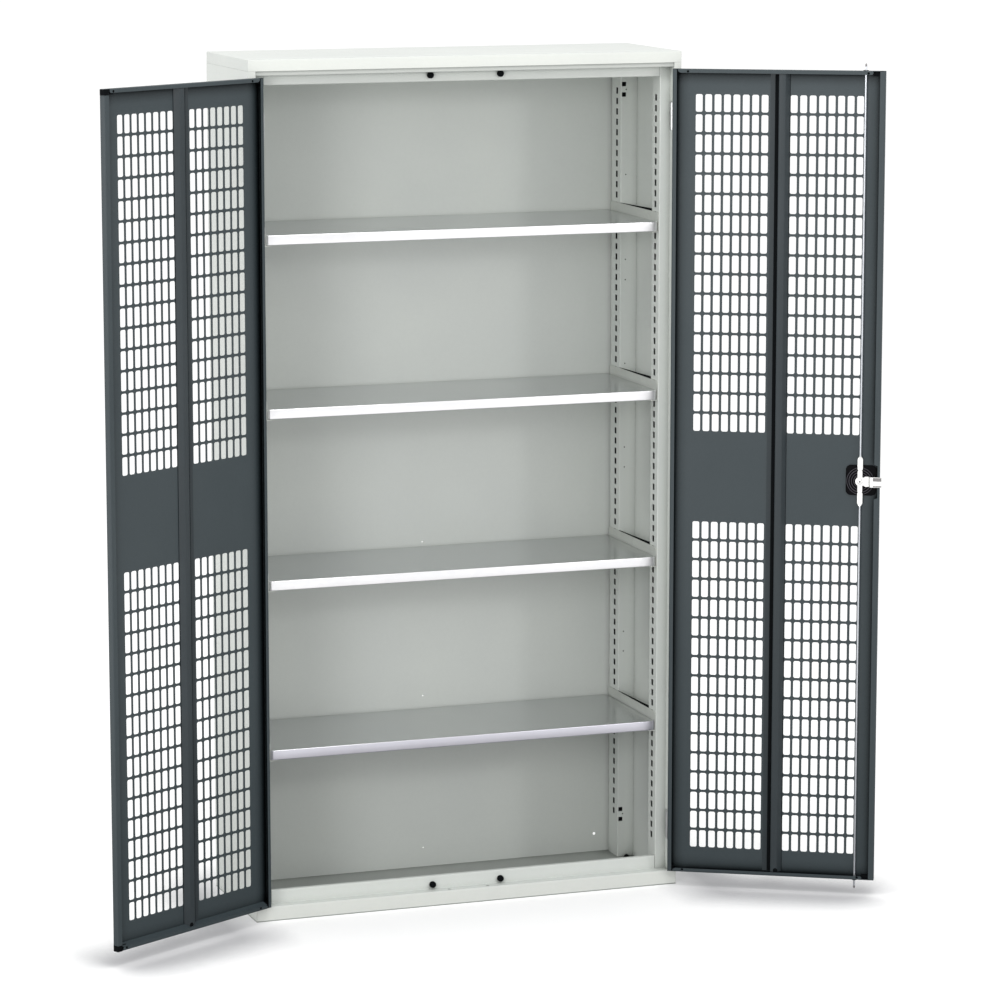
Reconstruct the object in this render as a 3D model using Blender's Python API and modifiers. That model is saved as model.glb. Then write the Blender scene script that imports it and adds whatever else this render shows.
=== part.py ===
"""Two-door ventilated storage cabinet in folded sheet steel.

The frame has its origin at the centre of the base, +X to the right, +Y to the
back and +Z up. Both doors stand 150 degrees open and the lock is thrown.
Lengths are metres.
"""

import math

import bmesh
import bpy
from mathutils import Matrix, Vector

# Carcass
WIDTH = 1.050
DEPTH = 0.350
HEIGHT = 2.000
SHEET = 0.0012
GAP = 0.0003
OVERRUN = 0.002

# Floor, roof and the two cross rails
FLOOR_SHEET = 0.002
ROOF_SKIRT = 0.0265
STRIP_WIDTH = 0.018
RECESS = 0.027
HEADER_FACE = 0.0105
HEADER_RAIL = 0.023
PLINTH_BAND = 0.035
PLINTH_RAIL = 0.031
RAIL_RETURN = 0.012
LEDGE_LAND = 0.003

# Slotted posts
POST_WIDTH = 0.043
FRONT_POST_DEPTH = 0.048
REAR_POST_BACK_GAP = 0.0088
REAR_POST_DEPTH = 0.0615
FRONT_SLOT_INSET = 0.026
REAR_SLOT_INSET = 0.0265
POST_SLOT_WIDTH = 0.0105
POST_SLOT_HEIGHT = 0.015

# Shelves and their hooked brackets
SHELF_TOPS = (0.400, 0.800, 1.200, 1.600)
SHELF_FACE = 0.0235
SHELF_RETURN = 0.015
SHELF_BACK_GAP = 0.0055
BRACKET_SHEET = 0.0015
BRACKET_RISE = 0.021
BRACKET_FLANGE = 0.0152
BRACKET_END_GAP = 0.0015
HOOK_WIDTH = 0.007
HOOK_HEIGHT = 0.010
HOOK_REACH = 0.004
HOOK_DROP = 0.011

# Bumpers and floor caps
BUMPER_RADIUS = 0.0075
BUMPER_CLEARANCE = 0.0005
BUMPER_X = 0.085
BUMPER_TOP_INSET = 0.008
BUMPER_BOTTOM_INSET = 0.011
BUMPER_DOME = 0.0015
CAP_RADIUS = 0.00625
CAP_HEIGHT = 0.0035
CAP_RIM = 0.0010
CAP_X_INSET = 0.022
CAP_POST_GAP = 0.0022

# Doors
DOOR_OPEN_DEG = 150.0
DOOR_THICKNESS = 0.016
DOOR_SET_IN = 0.002
DOOR_CENTRE_GAP = 0.003
DOOR_TOP_GAP = 0.003
DOOR_BOTTOM_GAP = 0.0035
HINGE_DROP = 0.0035
HINGE_SETBACK = 0.0035
HINGE_FROM_RETURN = 0.006
HINGE_LIP = 0.010
FREE_LIP = 0.013
END_LIP = 0.009

# Ventilation slots of the doors
SLOT_WIDTH = 0.016
SLOT_WEB = 0.006
SLOT_ROWS = 4
FIELD_HINGE_MARGIN = 0.053
FIELD_FREE_MARGIN = 0.051
FIELD_CENTRE_BAND = 0.052
ROUNDING_SHARE = 0.01
FIELD_END_MARGIN = 0.0594
FIELD_MIDDLE_BAND = 0.2167

# Door stiffener, a hat section with one flange
STIFFENER_FROM_SLOTS = 0.003
STIFFENER_CREST = 0.024
STIFFENER_DEPTH = 0.0115
STIFFENER_FLANGE = 0.020

# Hinges
HINGE_END_INSET = 0.1108
HINGE_LENGTH = 0.064
LEAF_SHEET = 0.0015
BARREL_RADIUS = 0.0045
BARREL_GAP = 0.0004
PIN_RADIUS = 0.0022
PIN_CLEARANCE = 0.0003
PIN_END_INSET = 0.0005
BODY_LEAF_DEPTH = 0.0203
DOOR_LEAF_WIDTH = 0.0098
LEAF_BARREL_GAP = 0.0002
WEB_BITE = 0.0017
DOOR_WEB_BITE = 0.0015

# Lock, on the right door
LOCK_FROM_FREE = 0.0465
LOCK_HEIGHT = 1.000
HOUSING_SIZE = 0.072
HOUSING_THICKNESS = 0.0035
HOUSING_SHIFT = 0.0020
HOUSING_CORNER = 0.012
HOUSING_RING = 0.028
HOUSING_RING_RISE = 0.0020
SPINDLE_RADIUS = 0.004
SPINDLE_CLEARANCE = 0.0004
CAM_START = 0.0099
CAM_SHEET = 0.0025
CAM_HUB = 0.011
CAM_EAR_WIDTH = 0.010
CAM_EAR_LENGTH = 0.028
TONGUE_HEIGHT = 0.024
TONGUE_INNER = 0.022
TONGUE_SLOPE = 0.006
TONGUE_CLEARANCE = 0.0025
TONGUE_PAST_EDGE = 0.0057
NUT_RADIUS = 0.0065
NUT_THICKNESS = 0.0030
ESCUTCHEON_THICKNESS = 0.004
HANDLE_HUB = 0.016
HANDLE_WIDTH = 0.020
HANDLE_LENGTH = 0.086
HANDLE_DEPTH = 0.020
HANDLE_EDGE = 0.002
BARREL_FACE_RADIUS = 0.007
BARREL_DEPTH = 0.012
BARREL_PROUD = 0.001
KEY_SLOT_WIDTH = 0.002
KEY_SLOT_LENGTH = 0.008
KEY_SLOT_DEPTH = 0.003
LIP_NOTCH = 0.006
LIP_NOTCH_MARGIN = 0.002

# Locking rods and their guide bushes
ROD_RADIUS = 0.003
ROD_INSET = 0.0085
ROD_BLADE_WIDTH = 0.014
ROD_BLADE_SHEET = 0.002
ROD_BLADE_START = 0.026
ROD_BLADE_END = 0.0615
ROD_BLADE_BITE = 0.006
ROD_TOP_REACH = 0.017
ROD_BOTTOM_REACH = 0.0225
ROD_HOLE_RADIUS = 0.006
GUIDE_RADIUS = 0.0045
GUIDE_CLEARANCE = 0.0004
GUIDE_FLANGE = 0.0065
GUIDE_FLANGE_SHEET = 0.001
GUIDE_LENGTH = 0.006

# Round shapes are drawn with these side counts
FINE_SIDES = 24
PLAIN_SIDES = 16

# Sizes that follow from the ones above
HALF = WIDTH / 2
FRONT = -DEPTH / 2
BACK = DEPTH / 2
STAND = FLOOR_SHEET + GAP
SKIRT_BOTTOM = HEIGHT - ROOF_SKIRT
WALL_TOP = SKIRT_BOTTOM - GAP
SOFFIT = SKIRT_BOTTOM - HEADER_FACE
HEADER_BOTTOM = SOFFIT - HEADER_RAIL
PLINTH_TOP = PLINTH_BAND + PLINTH_RAIL
RETURN_X = HALF - STRIP_WIDTH
POST_X = HALF - POST_WIDTH
RAIL_Y = FRONT + RECESS
REAR_POST_Y = BACK - SHEET - REAR_POST_BACK_GAP - REAR_POST_DEPTH
HINGE_X = RETURN_X - HINGE_FROM_RETURN
HINGE_Y = FRONT + DOOR_SET_IN - HINGE_DROP
DOOR_WIDTH = HINGE_X - HINGE_SETBACK - DOOR_CENTRE_GAP / 2
DOOR_BOTTOM = PLINTH_BAND + DOOR_BOTTOM_GAP
DOOR_TOP = SOFFIT - DOOR_TOP_GAP
SKIN_FREE = SHEET + GAP
ROD_X = DOOR_CENTRE_GAP / 2 + LOCK_FROM_FREE
ROD_Y = FRONT + DOOR_SET_IN + ROD_INSET

# Finishes: base colour, roughness and metallic value
LIGHT_GREY = ((0.60, 0.63, 0.60, 1.0), 0.45, 0.0)
ANTHRACITE = ((0.070, 0.088, 0.097, 1.0), 0.5, 0.0)
ZINC = ((0.62, 0.63, 0.65, 1.0), 0.35, 1.0)
BRIGHT_ZINC = ((0.82, 0.82, 0.80, 1.0), 0.25, 1.0)
BLACK = ((0.012, 0.012, 0.013, 1.0), 0.5, 0.0)


def clear_scene():
    """Remove whatever the file opened with."""
    for item in list(bpy.data.objects):
        bpy.data.objects.remove(item, do_unlink=True)


def new_collection(name):
    """A collection linked to the scene."""
    group = bpy.data.collections.new(name)
    bpy.context.scene.collection.children.link(group)
    return group


clear_scene()
cabinet = new_collection("ventilated_storage_cabinet")
cutters = new_collection("cutters")


def own_material(name, finish):
    """A Principled material for one piece."""
    colour, roughness, metallic = finish
    material = bpy.data.materials.new(name + "_finish")
    material.use_nodes = True
    shader = material.node_tree.nodes["Principled BSDF"]
    shader.inputs["Base Color"].default_value = colour
    shader.inputs["Roughness"].default_value = roughness
    shader.inputs["Metallic"].default_value = metallic
    return material


def pivot(name, place, parent=None, turn=0.0):
    """An empty on a joint's axis, turned about its vertical."""
    empty = bpy.data.objects.new(name, None)
    empty.location = place
    empty.rotation_euler = (0.0, 0.0, turn)
    empty.parent = parent
    cabinet.objects.link(empty)
    return empty


def finished(name, mesh, finish, parent=None):
    """A visible piece with its own material."""
    piece = bpy.data.objects.new(name, mesh)
    piece.parent = parent
    mesh.materials.append(own_material(name, finish))
    cabinet.objects.link(piece)
    return piece


def helper(name, mesh, parent=None):
    """A shape that only cuts or joins another."""
    piece = bpy.data.objects.new(name, mesh)
    piece.parent = parent
    piece.hide_render = True
    piece.display_type = "WIRE"
    cutters.objects.link(piece)
    return piece


def as_mesh(name, shape):
    """A mesh from bmesh, with its faces pointing out."""
    bmesh.ops.recalc_face_normals(shape, faces=shape.faces)
    mesh = bpy.data.meshes.new(name)
    shape.to_mesh(mesh)
    shape.free()
    return mesh


def put_box(shape, low, high):
    """Add a box between two corners, given in any order."""
    first = Vector([min(pair) for pair in zip(low, high)])
    last = Vector([max(pair) for pair in zip(low, high)])
    scale = Matrix.Diagonal((last - first).to_4d())
    scale[3][3] = 1.0
    place = Matrix.Translation((first + last) / 2)
    bmesh.ops.create_cube(shape, size=1.0, matrix=place @ scale)


def box_mesh(name, *corners):
    """A mesh of one or more boxes that don't touch."""
    shape = bmesh.new()
    for low, high in corners:
        put_box(shape, low, high)
    return as_mesh(name, shape)


def round_mesh(name, start, end, radius, sides=FINE_SIDES, end_radius=None):
    """A cylinder or cone between two points."""
    first = Vector(start)
    last = Vector(end)
    along = last - first
    turn = along.to_track_quat("Z", "Y").to_matrix().to_4x4()
    shape = bmesh.new()
    bmesh.ops.create_cone(
        shape,
        cap_ends=True,
        segments=sides,
        radius1=radius,
        radius2=radius if end_radius is None else end_radius,
        depth=along.length,
        matrix=Matrix.Translation((first + last) / 2) @ turn,
    )
    mesh = as_mesh(name, shape)
    mesh.shade_smooth()
    mesh.set_sharp_from_angle(angle=math.radians(40))
    return mesh


def folded_mesh(name, path, plane, start, end, sheet=SHEET):
    """A folded sheet as an open strip, ready for Solidify.

    The path runs with the metal on its left. It lies in the named plane and
    is drawn out between start and end along the third axis.
    """
    if plane == "XZ":
        start, end = end, start
    places = {
        "XY": lambda u, v, w: (u, v, w),
        "YZ": lambda u, v, w: (w, u, v),
        "XZ": lambda u, v, w: (u, w, v),
    }
    place = places[plane]
    shape = bmesh.new()
    near = [shape.verts.new(place(u, v, start)) for u, v in path]
    far = [shape.verts.new(place(u, v, end)) for u, v in path]
    for index in range(len(path) - 1):
        shape.faces.new((near[index], near[index + 1], far[index + 1], far[index]))
    mesh = bpy.data.meshes.new(name)
    shape.to_mesh(mesh)
    shape.free()
    return mesh


def thicken(piece, sheet=SHEET):
    """Give an open strip its sheet thickness, on the left of its path."""
    solid = piece.modifiers.new("sheet", "SOLIDIFY")
    solid.thickness = sheet
    solid.offset = -1.0
    solid.use_even_offset = True
    return piece


def folded(name, path, plane, start, end, finish, parent=None, sheet=SHEET):
    """A finished folded piece."""
    mesh = folded_mesh(name, path, plane, start, end)
    return thicken(finished(name, mesh, finish, parent), sheet)


def combine(piece, tool, operation):
    """One Boolean step."""
    step = piece.modifiers.new(operation.lower(), "BOOLEAN")
    step.operation = operation
    step.solver = "EXACT"
    step.object = tool


def cut(piece, *corners):
    """Cut one or more boxes out of a piece."""
    name = piece.name + "_cut_" + str(len(piece.modifiers))
    tool = helper(name, box_mesh(name, *corners), piece.parent)
    combine(piece, tool, "DIFFERENCE")


def join_box(piece, low, high):
    """Join a box to a piece."""
    name = piece.name + "_join_" + str(len(piece.modifiers))
    tool = helper(name, box_mesh(name, (low, high)), piece.parent)
    combine(piece, tool, "UNION")


def cut_round(piece, start, end, radius, sides=FINE_SIDES):
    """Bore a round hole through a piece."""
    name = piece.name + "_bore_" + str(len(piece.modifiers))
    tool = helper(name, round_mesh(name, start, end, radius, sides), piece.parent)
    combine(piece, tool, "DIFFERENCE")


def join_round(piece, start, end, radius, sides=FINE_SIDES):
    """Join a cylinder to a piece."""
    name = piece.name + "_boss_" + str(len(piece.modifiers))
    tool = helper(name, round_mesh(name, start, end, radius, sides), piece.parent)
    combine(piece, tool, "UNION")


def for_side(side, path):
    """A path drawn for the right side, mirrored where side is -1."""
    if side > 0:
        return path
    return [(-u, v) for u, v in reversed(path)]


def turned_mesh(name, profile, centre, axis_turn):
    """A profile of radius and height turned round its axis."""
    shape = bmesh.new()
    last = None
    for radius, rise in profile:
        here = shape.verts.new((radius, 0.0, rise))
        if last is not None:
            shape.edges.new((last, here))
        last = here
    bmesh.ops.spin(
        shape,
        geom=shape.verts[:] + shape.edges[:],
        cent=(0.0, 0.0, 0.0),
        axis=(0.0, 0.0, 1.0),
        angle=math.tau,
        steps=PLAIN_SIDES,
    )
    bmesh.ops.remove_doubles(shape, verts=shape.verts, dist=GAP / 10)
    bmesh.ops.transform(
        shape,
        verts=shape.verts,
        matrix=Matrix.Translation(centre) @ axis_turn,
    )
    mesh = as_mesh(name, shape)
    mesh.shade_smooth()
    mesh.set_sharp_from_angle(angle=math.radians(50))
    return mesh


def make_floor():
    """The base sheet that the cabinet stands on."""
    low = (-HALF, FRONT, 0.0)
    high = (HALF, BACK, FLOOR_SHEET)
    finished("floor_panel", box_mesh("floor_panel", (low, high)), LIGHT_GREY)


def make_roof():
    """The roof cap, a pan with a skirt all round."""
    low = (-HALF, FRONT, SKIRT_BOTTOM)
    high = (HALF, BACK, HEIGHT)
    roof = finished("roof_cap", box_mesh("roof_cap", (low, high)), LIGHT_GREY)
    inner_low = (-HALF + SHEET, FRONT + SHEET, SKIRT_BOTTOM - OVERRUN)
    inner_high = (HALF - SHEET, BACK - SHEET, HEIGHT - SHEET)
    cut(roof, (inner_low, inner_high))


def make_back():
    """The back panel between the two sides."""
    reach = HALF - SHEET - GAP
    low = (-reach, BACK - SHEET, STAND)
    high = (reach, BACK, WALL_TOP)
    finished("back_panel", box_mesh("back_panel", (low, high)), LIGHT_GREY)


def make_side(side, name):
    """A side wall with its front strip and the strip's return."""
    path = for_side(side, [
        (RETURN_X, RAIL_Y - GAP),
        (RETURN_X, FRONT),
        (HALF, FRONT),
        (HALF, BACK),
    ])
    wall = folded(name, path, "XY", STAND, WALL_TOP, LIGHT_GREY)
    low = (side * (RETURN_X - OVERRUN), FRONT - OVERRUN, STAND - OVERRUN)
    high = (side * (HALF - SHEET - GAP / 2), RAIL_Y + OVERRUN, PLINTH_BAND + GAP)
    cut(wall, (low, high))


def make_header():
    """The top front rail: short face, soffit, recessed rail and return."""
    path = [
        (FRONT, WALL_TOP),
        (FRONT, SOFFIT),
        (RAIL_Y, SOFFIT),
        (RAIL_Y, HEADER_BOTTOM),
        (RAIL_Y + RAIL_RETURN, HEADER_BOTTOM),
    ]
    reach = RETURN_X - GAP
    header = folded("header_rail", path, "YZ", -reach, reach, LIGHT_GREY)
    post_side = POST_X - GAP
    back = RAIL_Y + RAIL_RETURN + OVERRUN
    low_z = HEADER_BOTTOM - OVERRUN
    high_z = SOFFIT + SHEET + OVERRUN
    cut(
        header,
        ((post_side, RAIL_Y - GAP, low_z), (HALF, back, high_z)),
        ((-post_side, RAIL_Y - GAP, low_z), (-HALF, back, high_z)),
    )
    bore_rod_holes(header, SOFFIT)


def make_plinth():
    """The bottom front rail: band, ledge, recessed rail and return."""
    path = [
        (RAIL_Y + RAIL_RETURN, PLINTH_TOP),
        (RAIL_Y, PLINTH_TOP),
        (RAIL_Y, PLINTH_BAND),
        (FRONT, PLINTH_BAND),
        (FRONT, STAND),
    ]
    reach = HALF - SHEET - GAP
    plinth = folded("plinth_rail", path, "YZ", -reach, reach, LIGHT_GREY)
    post_side = POST_X - GAP
    strip_side = RETURN_X - GAP
    back = RAIL_Y + RAIL_RETURN + OVERRUN
    land = FRONT + LEDGE_LAND
    low_z = STAND
    high_z = PLINTH_TOP + OVERRUN
    cut(
        plinth,
        ((post_side, RAIL_Y - GAP, low_z), (HALF, back, high_z)),
        ((-post_side, RAIL_Y - GAP, low_z), (-HALF, back, high_z)),
    )
    cut(
        plinth,
        ((strip_side, land, low_z), (HALF, back, high_z)),
        ((-strip_side, land, low_z), (-HALF, back, high_z)),
    )
    bore_rod_holes(plinth, PLINTH_BAND)


def bore_rod_holes(rail, level):
    """The two holes that the rods of either door enter."""
    for side in (-1, 1):
        start = (side * ROD_X, ROD_Y, level - SHEET - OVERRUN)
        end = (side * ROD_X, ROD_Y, level + SHEET + OVERRUN)
        cut_round(rail, start, end, ROD_HOLE_RADIUS, PLAIN_SIDES)


def make_post(side, name, front, depth, slot_inset):
    """A slotted channel post, open towards the side wall."""
    wall = HALF - SHEET - GAP
    path = for_side(side, [
        (wall, front + depth),
        (POST_X, front + depth),
        (POST_X, front),
        (wall, front),
    ])
    post = folded(name, path, "XY", STAND, WALL_TOP, LIGHT_GREY)
    slots = []
    middle = front + slot_inset
    for top in SHELF_TOPS:
        level = top - HOOK_DROP
        low = (
            side * (POST_X - OVERRUN),
            middle - POST_SLOT_WIDTH / 2,
            level - POST_SLOT_HEIGHT / 2,
        )
        high = (
            side * (POST_X + SHEET + OVERRUN),
            middle + POST_SLOT_WIDTH / 2,
            level + POST_SLOT_HEIGHT / 2,
        )
        slots.append((low, high))
    cut(post, *slots)


def make_shelf(number, top):
    """A shelf pan with four down-turned edges and their returns."""
    name = "shelf_" + str(number)
    reach = POST_X - GAP - BRACKET_SHEET - GAP
    front = RAIL_Y
    back = BACK - SHEET - SHELF_BACK_GAP
    bottom = top - SHELF_FACE
    shelf = finished(
        name,
        box_mesh(name, ((-reach, front, bottom), (reach, back, top))),
        ZINC,
    )
    cut(shelf, (
        (-reach + SHEET, front + SHEET, bottom + SHEET),
        (reach - SHEET, back - SHEET, top - SHEET),
    ))
    cut(shelf, (
        (-reach + SHELF_RETURN, front + SHELF_RETURN, bottom - OVERRUN),
        (reach - SHELF_RETURN, back - SHELF_RETURN, bottom + SHEET + OVERRUN),
    ))


def make_bracket(side, number, top):
    """An angle along one end of a shelf, hooked into both posts."""
    name = "shelf_bracket_" + str(number) + ("_right" if side > 0 else "_left")
    outer = POST_X - GAP
    inner = outer - BRACKET_SHEET
    seat = top - SHELF_FACE - GAP
    path = for_side(side, [
        (inner, top + BRACKET_RISE),
        (inner, seat),
        (inner - BRACKET_FLANGE, seat),
    ])
    start = RAIL_Y + BRACKET_END_GAP
    end = REAR_POST_Y + REAR_POST_DEPTH
    bracket = folded(name, path, "XZ", start, end, ZINC, sheet=BRACKET_SHEET)
    level = top - HOOK_DROP
    rear_middle = REAR_POST_Y + REAR_SLOT_INSET
    for middle in (RAIL_Y + FRONT_SLOT_INSET, rear_middle):
        join_box(
            bracket,
            (
                side * (inner + BRACKET_SHEET / 2),
                middle - HOOK_WIDTH / 2,
                level - HOOK_HEIGHT / 2,
            ),
            (
                side * (POST_X + SHEET + HOOK_REACH),
                middle + HOOK_WIDTH / 2,
                level + HOOK_HEIGHT / 2,
            ),
        )


def make_bumper(side, row, level):
    """A domed rubber stop on a recessed rail."""
    name = "bumper_" + row + ("_right" if side > 0 else "_left")
    length = RECESS - DOOR_SET_IN - DOOR_THICKNESS - BUMPER_CLEARANCE - GAP
    profile = [
        (0.0, 0.0),
        (BUMPER_RADIUS, 0.0),
        (BUMPER_RADIUS, length - BUMPER_DOME),
        (BUMPER_RADIUS - BUMPER_DOME, length),
        (0.0, length),
    ]
    face = Matrix.Rotation(math.radians(90), 4, "X")
    centre = (side * BUMPER_X, RAIL_Y - GAP, level)
    finished(name, turned_mesh(name, profile, centre, face), BLACK)


def make_floor_cap(side):
    """A domed plug over the levelling hole in the floor."""
    name = "floor_cap" + ("_right" if side > 0 else "_left")
    profile = [
        (0.0, 0.0),
        (CAP_RADIUS, 0.0),
        (CAP_RADIUS, CAP_RIM),
        (CAP_RADIUS / math.sqrt(2), CAP_RIM + (CAP_HEIGHT - CAP_RIM) / math.sqrt(2)),
        (0.0, CAP_HEIGHT),
    ]
    centre = (
        side * (HALF - CAP_X_INSET),
        REAR_POST_Y - CAP_POST_GAP - CAP_RADIUS,
        STAND,
    )
    finished(name, turned_mesh(name, profile, centre, Matrix.Identity(4)), BLACK)


def door_place(side, along, inward, level):
    """A point in a door's own frame.

    along runs from the hinge edge, inward from the outer face, and level is
    the height above the ground.
    """
    return (-side * (HINGE_SETBACK + along), HINGE_DROP + inward, level)


def door_box(side, along, inward, level):
    """The two corners of a box in a door's own frame."""
    low = door_place(side, along[0], inward[0], level[0])
    high = door_place(side, along[1], inward[1], level[1])
    return low, high


def slot_columns():
    """How many columns of slots each of a door's two fields has room for."""
    margins = FIELD_HINGE_MARGIN + FIELD_CENTRE_BAND + FIELD_FREE_MARGIN
    room = (DOOR_WIDTH - margins) / 2
    share = (room + SLOT_WEB) / (SLOT_WIDTH + SLOT_WEB)
    return max(1, math.floor(share + ROUNDING_SHARE))


def free_field_start():
    """Where the field next to the free edge begins, from the hinge edge."""
    columns = slot_columns()
    field_width = columns * SLOT_WIDTH + (columns - 1) * SLOT_WEB
    return DOOR_WIDTH - FIELD_FREE_MARGIN - field_width


def slot_boxes(side):
    """Every ventilation slot of one door, as four fields."""
    middle = (DOOR_BOTTOM + DOOR_TOP) / 2
    field_height = middle - FIELD_MIDDLE_BAND / 2 - DOOR_BOTTOM - FIELD_END_MARGIN
    pitch = (field_height + SLOT_WEB) / SLOT_ROWS
    bottoms = (DOOR_BOTTOM + FIELD_END_MARGIN, middle + FIELD_MIDDLE_BAND / 2)
    boxes = []
    for start in (FIELD_HINGE_MARGIN, free_field_start()):
        for column in range(slot_columns()):
            along = start + column * (SLOT_WIDTH + SLOT_WEB)
            for bottom in bottoms:
                for row in range(SLOT_ROWS):
                    level = bottom + row * pitch
                    boxes.append(door_box(
                        side,
                        (along, along + SLOT_WIDTH),
                        (-OVERRUN, SHEET + OVERRUN),
                        (level, level + pitch - SLOT_WEB),
                    ))
    return boxes


def make_door_panel(side, name, parent):
    """A slotted door pan with flanges and inward lips on all four edges."""
    outer = door_box(
        side,
        (0.0, DOOR_WIDTH),
        (0.0, DOOR_THICKNESS),
        (DOOR_BOTTOM, DOOR_TOP),
    )
    panel = finished(name, box_mesh(name, outer), ANTHRACITE, parent)
    cut(panel, door_box(
        side,
        (SHEET, DOOR_WIDTH - SHEET),
        (SHEET, DOOR_THICKNESS - SHEET),
        (DOOR_BOTTOM + SHEET, DOOR_TOP - SHEET),
    ))
    cut(panel, door_box(
        side,
        (HINGE_LIP, DOOR_WIDTH - FREE_LIP),
        (DOOR_THICKNESS - SHEET - OVERRUN, DOOR_THICKNESS + OVERRUN),
        (DOOR_BOTTOM + END_LIP, DOOR_TOP - END_LIP),
    ))
    cut(panel, *slot_boxes(side))
    return panel


def make_stiffener(side, name, parent):
    """The vertical hat section down the middle of a door."""
    crest = free_field_start() - STIFFENER_FROM_SLOTS - STIFFENER_CREST
    top = SKIN_FREE + STIFFENER_DEPTH
    points = [
        (crest + STIFFENER_CREST, SKIN_FREE),
        (crest + STIFFENER_CREST, top),
        (crest, top),
        (crest, SKIN_FREE + SHEET),
        (crest - STIFFENER_FLANGE, SKIN_FREE + SHEET),
    ]
    path = [(-(HINGE_SETBACK + u), HINGE_DROP + v) for u, v in reversed(points)]
    start = DOOR_BOTTOM + SHEET + GAP
    end = DOOR_TOP - SHEET - GAP
    folded(name, for_side(side, path), "XY", start, end, ANTHRACITE, parent)


def make_hinge(side, row, level, door):
    """One hinge: body leaf and pin on the carcass, door leaf on the door."""
    label = ("right_" if side > 0 else "left_") + row
    low = level - HINGE_LENGTH / 2
    high = level + HINGE_LENGTH / 2
    body_leaf(side, "hinge_body_leaf_" + label, low, high)
    door_leaf(side, "hinge_door_leaf_" + label, low, high, door)
    pin_name = "hinge_pin_" + label
    pin = round_mesh(
        pin_name,
        (side * HINGE_X, HINGE_Y, low + PIN_END_INSET),
        (side * HINGE_X, HINGE_Y, high - PIN_END_INSET),
        PIN_RADIUS,
        PLAIN_SIDES,
    )
    finished(pin_name, pin, BRIGHT_ZINC)


def body_leaf(side, name, low, high):
    """The leaf on the strip's return, with the lower half of the barrel."""
    outer = RETURN_X - GAP
    inner = outer - LEAF_SHEET
    clear_y = HINGE_Y + BARREL_RADIUS + LEAF_BARREL_GAP
    end_y = clear_y + BODY_LEAF_DEPTH
    middle = (low + high) / 2
    corners = ((side * inner, clear_y, low), (side * outer, end_y, high))
    leaf = finished(name, box_mesh(name, corners), BRIGHT_ZINC)
    knuckle_top = middle - BARREL_GAP / 2
    join_box(
        leaf,
        (side * (inner - WEB_BITE), HINGE_Y, low),
        (side * outer, clear_y + LEAF_SHEET, knuckle_top),
    )
    axis_x = side * HINGE_X
    join_round(leaf, (axis_x, HINGE_Y, low), (axis_x, HINGE_Y, knuckle_top), BARREL_RADIUS)
    bore_hinge(leaf, axis_x, HINGE_Y, low, knuckle_top)


def door_leaf(side, name, low, high, door):
    """The leaf round the door's hinge lip, with the upper half of the barrel."""
    outer = HINGE_SETBACK - GAP
    inner = outer - LEAF_SHEET
    seat = HINGE_DROP + DOOR_THICKNESS + GAP
    clear_y = BARREL_RADIUS + LEAF_BARREL_GAP
    middle = (low + high) / 2
    path = for_side(side, [
        (-HINGE_SETBACK - DOOR_LEAF_WIDTH, seat),
        (-outer, seat),
        (-outer, clear_y),
    ])
    leaf = folded(name, path, "XY", low, high, BRIGHT_ZINC, door, LEAF_SHEET)
    knuckle_bottom = middle + BARREL_GAP / 2
    join_box(
        leaf,
        (-side * outer, 0.0, knuckle_bottom),
        (-side * (inner - DOOR_WEB_BITE / 2), clear_y + LEAF_SHEET, high),
    )
    join_round(leaf, (0.0, 0.0, knuckle_bottom), (0.0, 0.0, high), BARREL_RADIUS)
    bore_hinge(leaf, 0.0, 0.0, knuckle_bottom, high)


def bore_hinge(leaf, axis_x, axis_y, low, high):
    """The barrel's bore, a running fit on the pin."""
    start = (axis_x, axis_y, low - OVERRUN)
    end = (axis_x, axis_y, high + OVERRUN)
    cut_round(leaf, start, end, PIN_RADIUS + PIN_CLEARANCE, PLAIN_SIDES)


def lock_place(across, inward, rise):
    """A point in the lock's frame, whose origin is on the spindle's axis."""
    return (-across, inward, rise)


def make_lock(door):
    """Everything of the lock that stays with the door or turns with it."""
    along = DOOR_WIDTH - LOCK_FROM_FREE
    centre = door_place(1, along, 0.0, LOCK_HEIGHT)
    fixed = pivot("lock_axis", centre, door)
    turning = pivot("lock_spindle_axis", centre, door)
    make_housing(fixed)
    make_escutcheon(fixed)
    make_spindle(turning)
    make_cam(turning)
    make_handle(turning)
    make_barrel(turning)


def make_housing(parent):
    """The inner housing, a rounded square plate with a raised ring."""
    half = HOUSING_SIZE / 2
    start = SKIN_FREE
    end = start + HOUSING_THICKNESS
    low = lock_place(HOUSING_SHIFT - half, start, -half)
    high = lock_place(HOUSING_SHIFT + half, end, half)
    mesh = rounded_plate("lock_housing", low, high, HOUSING_CORNER)
    housing = finished("lock_housing", mesh, BLACK, parent)
    top = lock_place(0.0, end + HOUSING_RING_RISE, 0.0)
    join_round(housing, lock_place(0.0, start + HOUSING_THICKNESS / 2, 0.0), top, HOUSING_RING)
    bore_spindle(housing, start, end + HOUSING_RING_RISE)


def rounded_plate(name, low, high, corner):
    """A plate across the lock's axis with its four corners rounded."""
    shape = bmesh.new()
    put_box(shape, low, high)
    edges = [
        edge for edge in shape.edges
        if abs(edge.verts[0].co.y - edge.verts[1].co.y) > abs(high[1] - low[1]) / 2
    ]
    bmesh.ops.bevel(
        shape,
        geom=edges,
        offset=corner,
        segments=4,
        profile=0.5,
        affect="EDGES",
    )
    return as_mesh(name, shape)


def bore_spindle(piece, start, end):
    """A clearance hole for the spindle."""
    radius = SPINDLE_RADIUS + SPINDLE_CLEARANCE
    first = lock_place(0.0, start - OVERRUN, 0.0)
    last = lock_place(0.0, end + OVERRUN, 0.0)
    cut_round(piece, first, last, radius, PLAIN_SIDES)


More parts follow.
